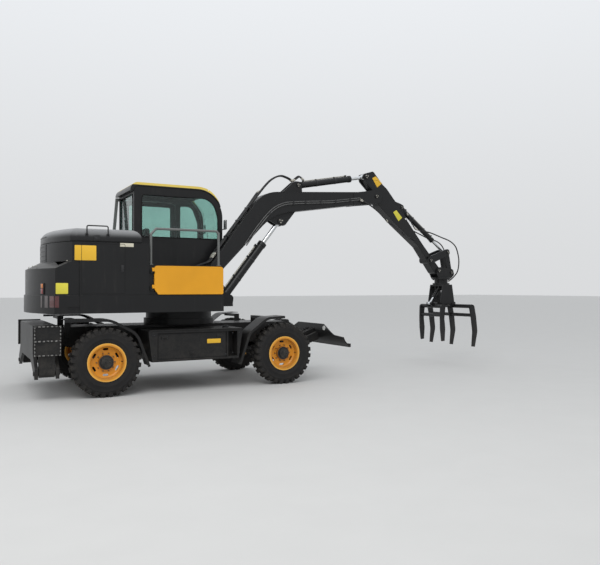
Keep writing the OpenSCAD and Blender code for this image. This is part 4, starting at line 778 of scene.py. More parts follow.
def drawn(name, paths, body, slot, finish, sides=12):
    """Sweeps a round section along paths: rows of points, radius and whether it closes."""
    if "sweep" not in GROWTHS:
        growth = Growth("Swept line", Sides="Int")
        tree = growth.tree
        line = tree.node("GeometryNodeMeshToCurve", None, {0: growth.size("Geometry")})
        thick = tree.node("GeometryNodeInputNamedAttribute", {"data_type": "FLOAT"}, {"Name": "thick"})
        section = tree.node("GeometryNodeCurvePrimitiveCircle", None,
                            {"Resolution": growth.size("Sides"), "Radius": 1.0})
        tube = tree.node("GeometryNodeCurveToMesh", None,
                         {"Curve": line, "Profile Curve": section, "Scale": thick, "Fill Caps": True})
        GROWTHS["sweep"] = growth.close(tree.node("GeometryNodeSetShadeSmooth", None, {0: tube}))
    verts, lines, thicks = [], [], []
    for points, radius, *closed in paths:
        base, count = len(verts), len(points)
        verts += [m(*p) for p in points]
        lines += [(base + i, base + i + 1) for i in range(count - 1)]
        if closed and closed[0]:
            lines.append((base + count - 1, base))
        thicks += [radius / 1000] * count if not isinstance(radius, list) else [r / 1000 for r in radius]
    base = bpy.data.meshes.new(name + "_line")
    base.from_pydata(verts, lines, [])
    base.attributes.new("thick", "FLOAT", "POINT").data.foreach_set("value", thicks)
    piece = GROWTHS["sweep"].grow(name, base, body, slot, Sides=sides, Finish=PALETTE[finish])
    shaded(piece.data, 50)
    return piece


# Settings


def shade_setting(name, description, default):
    return FloatVectorProperty(name=name, description=description, subtype="COLOR",
                               min=0, max=1, default=default)


def size_setting(name, description, least, most, default):
    return FloatProperty(name=name, description=description, unit="LENGTH",
                         min=least, max=most, default=default)


class FinishSettings(bpy.types.PropertyGroup):
    body_colour: shade_setting("Body colour", "Paint of the body and the boom", BLACK)
    accent_colour: shade_setting("Panel colour", "Paint of the side panel", (0.74, 0.335, 0.018))
    rim_colour: shade_setting("Rim colour", "Paint of the wheel rims", (0.76, 0.31, 0.018))
    glass_tint: shade_setting("Glass tint", "Tint of the cab's glass", (0.50, 0.71, 0.66))
    dust_colour: shade_setting("Dust colour", "Dust that settles on the machine", (0.17, 0.15, 0.125))
    dust: FloatProperty(name="Dust", description="How much dust lies on the paint", subtype="FACTOR",
                        min=0, max=1, default=0.42)


class TyreSettings(bpy.types.PropertyGroup):
    lugs: IntProperty(name="Lugs a side", description="Tread lugs on each shoulder of a tyre",
                      min=12, max=40, default=28)
    lug_width: size_setting("Lug width", "Width of a lug round the tyre", 0.02, 0.08, 0.056)


class LineSettings(bpy.types.PropertyGroup):
    hose_diameter: size_setting("Hose diameter", "Outside diameter of the main hoses", 0.01, 0.05, 0.027)
    pipe_diameter: size_setting("Pipe diameter", "Outside diameter of the steel pipes", 0.01, 0.04, 0.018)
    pad_plumpness: size_setting("Seat plumpness", "How far the seat's pads may swell", 0.0, 0.03, 0.022)


class StageSettings(bpy.types.PropertyGroup):
    floor_colour: shade_setting("Floor colour", "Colour of the plain floor", (0.56, 0.555, 0.54))
    sky_colour: shade_setting("Sky colour", "Colour of the light overhead", (0.93, 0.96, 1.0))
    lamp_power: FloatProperty(name="Lamp power", description="Power of the soft lamp",
                              unit="POWER", min=0, max=4000, default=420)
    lens: FloatProperty(name="Lens", description="Focal length of the camera in millimetres",
                        min=10, max=200, default=39)


# Operators


class EXCAVATOR_OT_finishes(bpy.types.Operator):
    """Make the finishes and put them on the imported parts"""
    bl_idname = "excavator.finishes"
    bl_label = "Paint the parts"

    def execute(self, context):
        finish_palette(context.scene.excavator_finish)
        for finish, names in NODE_FINISH.items():
            for name in names.split():
                materials = frame["nodes"][name].data.materials
                for i in range(len(materials)):
                    materials[i] = PALETTE[finish]
                if not len(materials):
                    materials.append(PALETTE[finish])
        return {"FINISHED"}


def lug_shape(side, width):
    """One lug, from the sidewall over the shoulder towards the middle of the tread."""
    # Rows of: sideways, top radius, base sideways, base radius, shift, half width
    rows = [
        (119.2, 372, 112, 372, -6, 0.36), (119.4, 400, 108, 396, -3, 0.44), (116.5, 421, 100, 404, 0, 0.47),
        (105, 431.2, 92, 408, 3, 0.5), (70, 432.2, 66, 410, 9, 0.46), (34, 432.4, 34, 411, 15, 0.38),
        (8, 432.3, 8, 411, 18, 0.3)]
    verts, faces = [], []
    for y, top, low_y, low, shift, share in rows:
        half = width * share
        for at, r, spread in ((low_y, low, half + 5), (y, top, half)):
            for edge in (-1, 1):
                angle = (shift + edge * spread) / TYRE_R
                verts.append((r * math.sin(angle), side * at, r * math.cos(angle)))
    for i in range(len(rows) - 1):
        a, b = i * 4, i * 4 + 4
        faces += [(a + 2, a + 3, b + 3, b + 2), (a, a + 2, b + 2, b), (a + 3, a + 1, b + 1, b + 3),
                  (a + 1, a, b, b + 1)]
    last = (len(rows) - 1) * 4
    faces += [(0, 1, 3, 2), (last, last + 2, last + 3, last + 1)]
    return Shape().put(verts, faces)


class EXCAVATOR_OT_tyres(bpy.types.Operator):
    """Grow the lugged tyres in place of the plain ones"""
    bl_idname = "excavator.tyres"
    bl_label = "Tyres"

    def execute(self, context):
        settings = context.scene.excavator_tyre
        half = [(217, 94), (234, 95), (243, 104.5), (247, 106), (262, 110), (292, 115.5), (296, 118),
                (304, 118), (308, 116.5), (338, 118), (352, 118), (356, 119.3), (362, 119.3), (366, 117.5),
                (384, 112), (398, 105), (407, 94), (413, 66), (415, 24), (415, 10), (407, 6)]
        rows = half + [(r, -y) for r, y in reversed(half)]
        lugs = []
        for side in (1, -1):
            mesh = lug_shape(side, settings.lug_width * 1000).mesh("lug", 25, True)
            lugs.append(bpy.data.objects.new("lug", mesh))
            context.scene.collection.objects.link(lugs[-1])
        for end, x in (("rear", -AXLE_X), ("front", AXLE_X)):
            for hand, y in (("left", TYRE_Y), ("right", -TYRE_Y)):
                carcass = Shape().lathe(rows, (x, y, AXLE_Z), (0, 1, 0), 112, True)
                tyre = wheel_ring().grow(f"tyre_tread_{end}_{hand}", carcass.mesh("carcass", 28),
                                         f"wheel_{end}_{hand}", "tyre_rubber", Lug=lugs[0], Other=lugs[1],
                                         Count=settings.lugs, Centre=m(x, y, AXLE_Z),
                                         Finish=PALETTE["rubber"])
                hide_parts(f"tyre_{end}_{hand}")
        for lug in lugs:
            bpy.data.objects.remove(lug)
        return {"FINISHED"}


def on_side(outline, y):
    """An outline on the side plane, as points."""
    return [(x, y, z) for x, z in outline]


class EXCAVATOR_OT_seat(bpy.types.Operator):
    """Swell the seat's pads in place of the plain seat"""
    bl_idname = "excavator.seat"
    bl_label = "Seat"

    def execute(self, context):
        swell = context.scene.excavator_line.pad_plumpness
        low = Shape().block((-312, SEAT_Y - 222, 1514), (146, SEAT_Y + 222, 1604), 34, 4)

        def aside(p, by):
            return abs(abs(p.y - SEAT_Y / 1000) - by / 1000) < SEAM_WIDTH

        def cushion_seam(p):
            return p.z > m(0, 0, 1590).z and aside(p, 140)

        def back_seam(p):
            """Two upright seams and a level one between them, on the face only."""
            face = m(-300, 0, 0).x + (m(0, 0, 2040).z - p.z) * 0.13
            level = abs(p.y - SEAT_Y / 1000) < 0.13 and abs(p.z - 1.86) < SEAM_WIDTH
            return p.x > face and (aside(p, 130) or level)

        cushion = plump("seat_cushion", low, swell, cushion_seam)
        back = Shape().prism(rounded([(-336, 1640, 20), (-240, 1640, 30), (-296, 2050, 30),
                                      (-376, 2046, 26)]), SEAT_Y - 212, SEAT_Y + 212, "xz", 26)
        rest = plump("seat_back", back, swell, back_seam)
        head = Shape().prism(rounded([(-372, 2092, 24), (-306, 2092, 30), (-318, 2262, 34),
                                      (-392, 2250, 30)]), SEAT_Y - 128, SEAT_Y + 128, "xz", 24)
        top = plump("seat_headrest", head, swell * 0.5)
        for piece in (cushion, rest, top):
            piece.data.materials.append(PALETTE["cloth"])
            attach(piece, "upper")
        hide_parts("seat")
        pan = Shape().prism(rounded([(-330, 1500, 18), (158, 1500, 30), (160, 1530, 12), (120, 1516, 10),
                                     (-300, 1516, 12), (-326, 1640, 14), (-404, 2120, 30), (-408, 2240, 4),
                                     (-412, 2240, 4), (-412, 2120, 30), (-344, 1640, 20)]),
                            SEAT_Y - 214, SEAT_Y + 214, "xz", 4)
        pan.done("seat_shell", "upper", "dark_plastic", "plastic")
        posts = [([(-352, SEAT_Y + side, 2030), (-362, SEAT_Y + side, 2110)], 6) for side in (-60, 60)]
        drawn("seat_headrest_posts", posts, "upper", "chrome_rod", "zinc")
        rim = rounded([(-300, SEAT_Y - 214, 40), (136, SEAT_Y - 214, 46), (136, SEAT_Y + 214, 46),
                       (-300, SEAT_Y + 214, 40)])
        drawn("seat_piping", [([(x, y, 1560) for x, y in wider(rim, 9)], 4, True)], "upper", "seat_fabric",
              "seal", 8)
        belt = Shape().block((-262, SEAT_Y - 246, 1500), (-222, SEAT_Y - 232, 1640), 5)
        belt.block((-262, SEAT_Y + 232, 1500), (-222, SEAT_Y + 246, 1612), 5)
        belt.done("seat_belt_anchors", "upper", "dark_plastic", "plastic")
        return {"FINISHED"}


def wider(outline, by):
    """An outline moved outwards by an even step along its sides."""
    rows = [Vector(p) for p in outline]
    area = sum(a.x * b.y - b.x * a.y for a, b in zip(rows, rows[1:] + rows[:1]))
    moved = []
    for i, p in enumerate(rows):
        edge = (rows[(i + 1) % len(rows)] - rows[i - 1]).normalized()
        moved.append(tuple(p + Vector((edge.y, -edge.x)) * (by if area > 0 else -by)))
    return moved


def plump(name, shape, swell, sewn=None):
    """Remeshes a closed form, swells it with cloth pressure, holds its sewn lines and caps the swelling."""
    piece = bpy.data.objects.new(name, shape.mesh(name))
    scene = bpy.context.scene
    scene.collection.objects.link(piece)
    remesh = piece.modifiers.new("Remesh", "REMESH")
    remesh.mode, remesh.voxel_size = "VOXEL", VOXEL

    def fixed():
        bpy.context.view_layer.update()
        mesh = bpy.data.meshes.new_from_object(piece.evaluated_get(bpy.context.evaluated_depsgraph_get()))
        piece.modifiers.clear()
        piece.data = mesh
        mesh.name = name
        return mesh

    mesh = fixed()
    rest = [v.co.copy() for v in mesh.vertices]
    held = [i for i, p in enumerate(rest) if sewn and sewn(p)]
    if held:
        seam = piece.vertex_groups.new(name="sewn")
        seam.add(held, 1.0, "REPLACE")
    cloth = piece.modifiers.new("Cloth", "CLOTH")
    cloth.settings.use_pressure, cloth.settings.uniform_pressure_force = True, PRESSURE
    cloth.settings.effector_weights.gravity = 0.0
    if held:
        cloth.settings.vertex_group_mass = "sewn"
    for number in range(1, LAST_FRAME + 1):
        scene.frame_set(number)
    mesh = fixed()
    scene.frame_set(1)
    for v, start in zip(mesh.vertices, rest):
        step = v.co - start
        if step.length > swell:
            v.co = start + step.normalized() * swell
    for i in held:
        mesh.vertices[i].co = rest[i] - mesh.vertices[i].normal * SEAM_DEPTH
    smooth = piece.modifiers.new("Subdivision", "SUBSURF")
    smooth.levels = smooth.render_levels = 1
    mesh = fixed()
    for polygon in mesh.polygons:
        polygon.use_smooth = True
    piece.vertex_groups.clear()
    mesh.materials.clear()
    return piece


def panel(x0, z0, x1, z1, r=8):
    """A rectangle with rounded corners."""
    return rounded([(x0, z0, r), (x1, z0, r), (x1, z1, r), (x0, z1, r)])


def arc_band(radius, depth, first, last, count=18):
    """A band round the slewing axis between two angles, from above."""
    angles = [math.radians(first + (last - first) * k / count) for k in range(count + 1)]
    outer = [(radius * math.cos(a), radius * math.sin(a)) for a in angles]
    radius -= depth
    return outer + [(radius * math.cos(a), radius * math.sin(a)) for a in reversed(angles)]


class EXCAVATOR_OT_labels(bpy.types.Operator):
    """Stick on the blank labels and the reflectors"""
    bl_idname = "excavator.labels"
    bl_label = "Labels and reflectors"

    def execute(self, context):
        high = rounded([(3291, 3207, 5), (3362, 3243, 5), (3492, 3134, 5), (3391, 3058, 5)])
        low = rounded([(3724, 2656, 5), (3790, 2698, 5), (3914, 2574, 5), (3837, 2509, 5)])
        for name, body, outline, face, thick, finish in (
                ("side", "upper", panel(-1621, 1700, -1364, 1884), -966.6, 2, "label_yellow"),
                ("tail", "upper", panel(-1836, 1288, -1694, 1420), -957.2, 2.8, "label_lemon"),
                ("hood", "upper", panel(-1073, 1880, -903, 1926, 4), -966.4, 1.8, "label_pale"),
                ("box", "chassis", panel(80, 620, 273, 678), -978, 2.6, "label_yellow"),
                ("arm_high", "arm", high, ARM_SIDE - 1.8, 2.2, "label_yellow"),
                ("arm_low", "arm", low, ARM_SIDE - 1.8, 2.2, "label_lemon")):
            label = Shape().prism(outline, face, face + thick, r=0.4)
            label.done("label_" + name, body, "yellow_paint", finish)
        bits = Shape()
        for x, z in ((3990, 2560), (4062, 2500), (4130, 2440)):
            bits.prism(rounded([(x - 20, z, 4), (x, z + 18, 4), (x + 22, z - 4, 4), (x + 2, z - 22, 4)]),
                       ARM_SIDE - 1.6, ARM_SIDE + 0.4)
        bits.done("label_arm_marks", "arm", "dark_plastic", "label_white")
        light, dark = Shape(), Shape()
        for hand in (1, -1):
            for first, last in ((19.3, 20.3), (22.0, 23.9)):
                band = arc_band(TAIL_R, 4, 180 + hand * first, 180 + hand * last, 4)
                light.prism(band, 1120, 1265, "xy", 0.5)
            band = arc_band(TAIL_R, 4, 180 + hand * 25.0, 180 + hand * 27.4, 5)
            dark.prism(band, 1124, 1262, "xy", 0.5)
            low, high = sorted((hand * 969, hand * 971.8))
            dark.prism(panel(-1848, 1124, -1800, 1262, 3), low, high)
        # The tail's strips take dark grey and dark red, darkened as painted shade
        light.done("reflectors_tail_pale", "upper", "dark_plastic", "label_shade")
        dark.done("reflectors_tail_red", "upper", "dark_plastic", "deep_red")
        blade = Shape()
        for y in (-550, 550):
            blade.lathe([(34, 0), (36, 2), (36, 7), (32, 9), (28, 7)], (2148, y, 741), (-1, 0, 0), 32)
        blade.done("reflectors_blade", "blade", "dark_plastic", "label_white")
        return {"FINISHED"}


class EXCAVATOR_OT_hood_trim(bpy.types.Operator):
    """Add the hood's handle, latch, grille slats and the tail's lamps"""
    bl_idname = "excavator.hood_trim"
    bl_label = "Hood and tail trim"

    def execute(self, context):
        handle = bent([(-1472, -924, 2014), (-1472, -942, 2024), (-1472, -942, 2132), (-1216, -942, 2132),
                       (-1216, -942, 2024), (-1216, -924, 2014)], 22)
        drawn("hood_handle", [(handle, 8)], "hood", "black_paint", "black")
        feet = Shape()
        for x in (-1472, -1216):
            feet.block((x - 20, -934, 1996), (x + 20, -926, 2034), 3)
        feet.block((-1387, -940, 1938), (-1314, -930, 2018), 5)
        feet.block((-1372, -948, 1952), (-1330, -938, 1992), 4)
        feet.done("hood_latch", "hood", "dark_plastic", "plastic")
        slats = Shape()
        for z in (2016, 1962):
            slats.prism(arc_band(1884, 12, 171.9, 188.1), z - 9, z + 9, "xy", 2.5)
        slats.done("hood_slats", "hood", "black_paint", "pipe")
        lower = Shape()
        for z in (1898, 1840, 1780, 1722):
            lower.prism(arc_band(1889, 10, 171.9, 188.1), z - 9, z + 9, "xy", 2.5)
        for first, last in ((171.2, 171.8), (188.2, 188.8)):
            lower.prism(arc_band(1890, 11, first, last, 3), 1694, 1926, "xy", 2)
        lower.prism(arc_band(1890, 11, 171.2, 188.8), 1692, 1704, "xy", 2)
        lower.done("tail_slats", "upper", "black_paint", "pipe")
        bases, lenses, amber = Shape(), Shape(), Shape()
        for hand in (1, -1):
            angle = math.radians(180 + hand * 20)
            along = Vector((math.cos(angle), math.sin(angle), 0))
            placed = facing(along * TAIL_LAMP_R + Vector((0, 0, 1350)), along)
            for shape, low, high, r in ((bases, (-34, -70, -6), (34, 70, 10), 6),
                                        (lenses, (-26, -62, 6), (26, 4, 15), 5),
                                        (amber, (-26, 8, 6), (26, 62, 15), 5)):
                shape.at = placed
                shape.block(low, high, r)
        bases.done("tail_lamp_bodies", "upper", "dark_plastic", "plastic")
        lenses.done("tail_lamp_red", "upper", "dark_plastic", "red")
        amber.done("tail_lamp_amber", "upper", "dark_plastic", "amber")
        places = [((-1995, y, 1640), (-0.92, 0, 0.38)) for y in (-420, 0, 420)]
        places += [((-1700, y, 1690.2), (0, 0, 1)) for y in (-925, 925)]
        scatter("tail_bolts", hex_bolt(12, 8), places, "upper", "cast_grey", "zinc")
        seams = []
        for y in (-966, 966):
            seams.append(([(x, y, z) for x, z in panel(-1540, 1290, -1010, 1912, 20)], 2.6, True))
        drawn("side_door_seals", seams, "upper", "dark_plastic", "seal", 6)
        locks = Shape()
        for y in (-965, 965):
            low, high = sorted((y - math.copysign(1, y), y + math.copysign(9, y)))
            locks.block((-1060, low, 1560), (-1024, high, 1650), 6)
        locks.done("side_door_locks", "upper", "dark_plastic", "plastic")
        return {"FINISHED"}


def hex_bolt(r, h):
    """A hexagon head on its washer, standing on Z."""
    return Shape().lathe([(r * 1.35, 0), (r * 1.35, h * 0.22)], n=16).lathe(
        [(r, h * 0.2), (r, h * 0.85), (r * 0.84, h)], n=6)


class EXCAVATOR_OT_cab_trim(bpy.types.Operator):
    """Add the cab's window seals, roof edge, mirrors, wiper and handles"""
    bl_idname = "excavator.cab_trim"
    bl_label = "Cab trim"

    def execute(self, context):
        side = rounded([(-530, 2100, 30), (-530, 2710, 40), (560, 2710, 240), (640, 2420, 100),
                        (640, 2100, 30)])
        left = rounded([(330, 1500, 30), (330, 2690, 40), (540, 2690, 120), (640, 2420, 100),
                        (640, 1500, 30)])
        back = [(-641, y, z) for y, z in panel(150, 2060, 915, 2720, 40)]
        front = rounded([(-640, 1125, 0), (-640, 2830, 60), (710, 2830, 400), (710, 1700, 200),
                         (620, 1125, 0)], 6)
        nose = [(x, z) for x, z in front if x >= 480 and z > 1480]
        foot = (676, 1480)
        nose = nose + [foot] if nose[-1][1] < nose[0][1] else [foot] + nose
        screen = [(x + 1, 130, z) for x, z in nose] + [(x + 1, 935, z) for x, z in reversed(nose)]
        seals = [(line, 8, True) for line in (on_side(side, 69), on_side(left, 996), back, screen)]
        drawn("cab_seals", seals, "upper", "dark_plastic", "seal", 10)
        panes = (panel(-490, 1800, 180, 2660, 40),
                 rounded([(-490, 1260, 40), (110, 1260, 40), (180, 1740, 40), (-490, 1740, 40)]))
        seals = [(on_side(pane, 998.5), 7.5, True) for pane in panes]
        drawn("door_seals", seals, "cab_door", "dark_plastic", "seal", 10)
        curve = [(x, z) for x, z in front if x > 440 and z > 2560]
        if curve[0][0] > curve[-1][0]:
            curve.reverse()
        edge = Shape()
        count = len(curve)
        inner, outer = [], []
        for i, (x, z) in enumerate(curve):
            radial = Vector((x - ROOF_BEND[0], z - ROOF_BEND[2])).normalized()
            grow = 46 * (1 - i / (count - 1)) ** 0.9 + 3
            inner.append((x + radial.x * 0.5, z + radial.y * 0.5))
            outer.append((x + radial.x * grow, z + radial.y * grow))
        outline = inner + outer[::-1]
        edge.prism(outline, 58, 82, "xz", 2).prism(outline, 978, 1000, "xz", 2)
        edge.done("roof_edge_curves", "upper", "yellow_paint", "roof", 45)
        arms, shells, faces = [], Shape(), Shape()
        for y, turn in ((50, 1), (962, -1)):
            arms.append((bent([(704, y + turn * 36, 2250), (752, y + turn * 20, 2262), (756, y, 2326),
                               (756, y, 2380)], 26), 7))
            shells.block((738, y - 46, 2252), (758, y + 46, 2400), 9, 3)
            faces.block((733, y - 39, 2260), (739, y + 39, 2392), 3)
        drawn("mirror_arms", arms, "upper", "black_paint", "plastic", 10)
        shells.done("mirror_shells", "upper", "dark_plastic", "plastic")
        faces.done("mirror_faces", "upper", "chrome_rod", "chrome")
        wiper = [([(713, 500, 1560), (722, 520, 1610), (724, 640, 1900), (722, 700, 2050)], 6)]
        drawn("wiper_arm", wiper, "upper", "black_paint", "plastic", 8)
        blade = Shape()
        blade.at = facing((719, 690, 2040), (0.0, 0.30, 1.0))
        blade.block((-5, -4, -250), (5, 4, 250), 2)
        blade.at = Matrix.Identity(4)
        blade.block((700, 470, 1530), (720, 530, 1590), 8)
        blade.done("wiper_blade", "upper", "dark_plastic", "plastic")
        handle = Shape().block((66, 998, 1795), (150, 1006, 1850), 3)
        handle.block((80, 1004, 1812), (146, 1009.5, 1832), 2)
        handle.done("door_handle", "cab_door", "dark_plastic", "plastic")
        rail = bent([(655, 958, 1500), (690, 985, 1500), (716, 985, 1760), (712, 985, 2080),
                     (690, 958, 2080)], 25)
        drawn("cab_grab_rail", [(rail, 11)], "upper", "black_paint", "black")
        return {"FINISHED"}


class EXCAVATOR_OT_cab_inside(bpy.types.Operator):
    """Add the monitor, the levers' knobs and bellows, the pedals and the mat"""
    bl_idname = "excavator.cab_inside"
    bl_label = "Cab interior"

    def execute(self, context):
        dark, grey = Shape(), Shape()
        for side in (-305, 305):
            y = SEAT_Y + side
            dark.lathe([(46, 0), (48, 6), (40, 14), (42, 20), (32, 28), (34, 34), (24, 44), (25, 50),
                        (17, 62), (14, 76)], (60, y, 1641), n=24)
            dark.lathe([(13, 0), (17, 18), (20, 60), (24, 92), (20, 112), (8, 118)], (60, y, 1722),
                       (-0.16, 0, 1), 24)
            dark.block((-310, y - 42, 1642), (30, y + 42, 1676), 15, 4)
        for y in (-70, 70):
            grey.at = facing((470, SEAT_Y + y, 1260), (-0.62, 0, 0.78))
            grey.block((-44, -72, -6), (44, 72, 6), 5)
        grey.at = Matrix.Identity(4)
        grey.block((556, 190, 1700), (600, 372, 1836), 14, 3)
        grey.block((566, 262, 1500), (590, 300, 1706), 6)
        dark.done("cab_controls", "upper", "dark_plastic", "plastic")
        grey.done("cab_monitor_pedals", "upper", "dark_plastic", "grey_plastic")
        face = Shape().block((552, 202, 1712), (557, 360, 1824), 2)
        face.done("monitor_face", "upper", "dark_plastic", "screen")
        levers = [(on_side([(470, 1250), (500, 1210), (510, 1168)], SEAT_Y + y), 9) for y in (-70, 70)]
        levers += [(on_side([(430, 1480), (410, 1380), (450, 1200)], SEAT_Y + y), 7) for y in (-50, 50)]
        drawn("pedal_levers", levers, "upper", "cast_grey", "pipe", 8)
        mat = Shape().block((-600, 120, 1166), (600, 930, 1172), 2)
        for k in range(24):
            mat.block((-560 + k * 48, 140, 1171), (-548 + k * 48, 910, 1175), 1.5, 1)
        mat.done("floor_mat", "upper", "dark_plastic", "plastic")
        ring = [(310 + 174 * math.cos(a) * math.cos(math.radians(12)), SEAT_Y + 174 * math.sin(a),
                 1745 + 174 * math.cos(a) * math.sin(math.radians(12))) for a in
                [math.tau * k / 48 for k in range(48)]]
        drawn("wheel_grip", [(ring, 15.5, True)], "upper", "dark_plastic", "seal", 12)
        return {"FINISHED"}


def beside(path, by):
    """A path in the side plane, moved sideways in that plane by an even step."""
    moved = []
    for i, p in enumerate(path):
        run = Vector(path[min(i + 1, len(path) - 1)]) - Vector(path[max(i - 1, 0)])
        run = Vector((run.x, 0, run.z)).normalized()
        moved.append((p[0] - run.z * by, p[1], p[2] + run.x * by))
    return moved


def lifted(start, end, along, off, y):
    """A point at a distance along a straight edge and off it to its left."""
    run = (Vector(end) - Vector(start)).normalized()
    p = Vector(start) + run * along + Vector((-run.y, run.x)) * off
    return (p.x, y, p.y)


def crimped(name, paths, body, r, across=None):
    """Hoses with a crimped ferrule and a hexagon nut at both ends; where they cross a joint the hose rides on
    no body and its fittings ride on the bodies at each end.
    """
    hose = drawn(name, [(path, r) for path in paths], body, "dark_plastic", "hose", 14)
    ends = []
    for path in paths:
        ends += [(Vector(path[0]), Vector(path[1]) - Vector(path[0])),
                 (Vector(path[-1]), Vector(path[-2]) - Vector(path[-1]))]
    unit = Shape().lathe([(r * 1.18, 12), (r * 1.26, 15), (r * 1.26, 20), (r * 1.16, 22), (r * 1.26, 24),
                          (r * 1.26, 30), (r * 1.16, 32), (r * 1.24, 34), (r * 1.24, 42), (r * 1.06, 44)],
                         n=16)
    unit.lathe([(r * 1.1, -4), (r * 1.32, -2), (r * 1.32, 9), (r * 1.1, 11)], n=6)
    if not across:
        scatter(name + "_fittings", unit, ends, body, "dark_plastic", "zinc")
        return hose
    first, second, start, end = across
    hose.parent = None
    m(*start)
    m(*end)
    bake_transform(hose)
    scatter(name + "_fittings_in", unit, ends[0::2], first, "dark_plastic", "zinc")
    scatter(name + "_fittings_out", unit, ends[1::2], second, "dark_plastic", "zinc")
    return hose


class EXCAVATOR_OT_boom_lines(bpy.types.Operator):
    """Run the boom's hoses, side pipes, clamps and weld beads"""
    bl_idname = "excavator.boom_lines"
    bl_label = "Boom hoses and pipes"

    def execute(self, context):
        settings = context.scene.excavator_line
        r, pipe = settings.hose_diameter * 500, settings.pipe_diameter * 500
        line = on_side([(958, 2008), (1123, 2241), (1291, 2447), (1400, 2556), (1500, 2624), (1635, 2676),
                        (1901, 2707), (2453, 2749), (3020, 2836)], -247)
        right = [(bent(beside(line, by), 160), pipe) for by in (-15, 15)]
        left = [([(x, 7, z) for x, _, z in path], size) for path, size in right]
        # The side pipes take the mid grey finish, a painted highlight along them
        drawn("boom_pipes", right + left, "boom", "cast_grey", "line", 12)
        clamp = Shape().block((-15, -34, 0), (15, 34, 11), 3).block((-13, -31, 10), (13, -1, 27), 7, 3)
        clamp.block((-13, 1, 10), (13, 31, 27), 7, 3).block((-15, -5, 10), (15, 5, 26), 2)
        places = []
        for a, b in ((0, 1), (2, 3), (5, 6), (6, 7), (7, 8)):
            start, end = Vector(line[a]), Vector(line[b])
            spots = (0.5,) if b < 7 else (0.15, 0.65)
            for t in spots:
                p = start.lerp(end, t)
                run = math.atan2(end.z - start.z, end.x - start.x)
                places.append(((p.x, BOOM_SIDE + 0.3, p.z), (0, -1, 0), -run))
                places.append(((p.x, -5.3, p.z), (0, 1, 0), run))
        scatter("boom_clamps", clamp, places, "boom", "dark_plastic", "plastic")
        heads = [((p[0], p[1] + 26.5 * d[1], p[2]), d, s) for p, d, s in places]
        scatter("boom_clamp_bolts", hex_bolt(7, 6), heads, "boom", "cast_grey", "pipe")
        back, knee, crown = (258, 1488), (753, 2170), (1260, 2831)
        up = [lifted(back, knee, s, r + 12, 0) for s in (420, 640, 820)]
        over = [lifted(knee, crown, s, r + 12, 0) for s in (150, 380, 560)]
        loop = [(1305, 0, 2918), (1442, 0, 3050), (1581, 0, 3112), (1704, 0, 3092), (1800, 0, 3046)]
        short = [(1210, 0, 2818), (1252, 0, 2852)]
        paths = [flowing([(x, y, z) for x, _, z in up + over + end])
                 for y, end in ((-172, loop), (-140, loop), (-108, short), (-76, short))]
        crimped("boom_hoses", paths, "boom", r)
        bridge = Shape()
        for a, b, s in ((back, knee, 520), (back, knee, 780), (knee, crown, 250), (knee, crown, 500)):
            run = Vector(b) - Vector(a)
            p = lifted(a, b, s, 0, -124)
            bridge.at = facing(p, (-run.y, 0, run.x), math.pi / 2)
            bridge.block((-14, -72, 0), (14, 72, 10), 2).block((-14, -72, 8 + 2 * r), (14, 72, 16 + 2 * r), 3)
            bridge.block((-8, -6, 6), (8, 6, 12 + 2 * r), 1).block((-8, -72, 6), (8, -66, 12 + 2 * r), 1)
            bridge.block((-8, 66, 6), (8, 72, 12 + 2 * r), 1)
        bridge.done("boom_hose_bridges", "boom", "black_paint", "pipe")
        rise = []
        for y in (-172, -140, -108, -76):
            top = Vector(lifted(back, knee, 420, r + 12, y))
            rise.append(flowing([(96, y, 1150), (92, y, 1290), (120, y, 1470), (206, y, 1660),
                                 tuple(top - Vector((117, 0, 162)) * 0.55), tuple(top)]))
        crimped("foot_hoses", rise, "upper", r, across=("upper", "boom", (96, -120, 1320), (380, -120, 1780)))
        outline = rounded([(*back, 60), (*knee, 0), (*crown, 500), (1882, 2873, 0), (3092, 2955, 20),
                           (3078, 2752, 40), (1882, 2571, 0), (1432, 2501, 800), (426, 1458, 60),
                           (346, 1403, 60)])
        beads = [(on_side(wider(outline, -9), y), 2.8, True) for y in (BOOM_SIDE - 0.4, -4.6)]
        drawn("boom_welds", beads, "boom", "black_paint", "boom", 6)
        return {"FINISHED"}


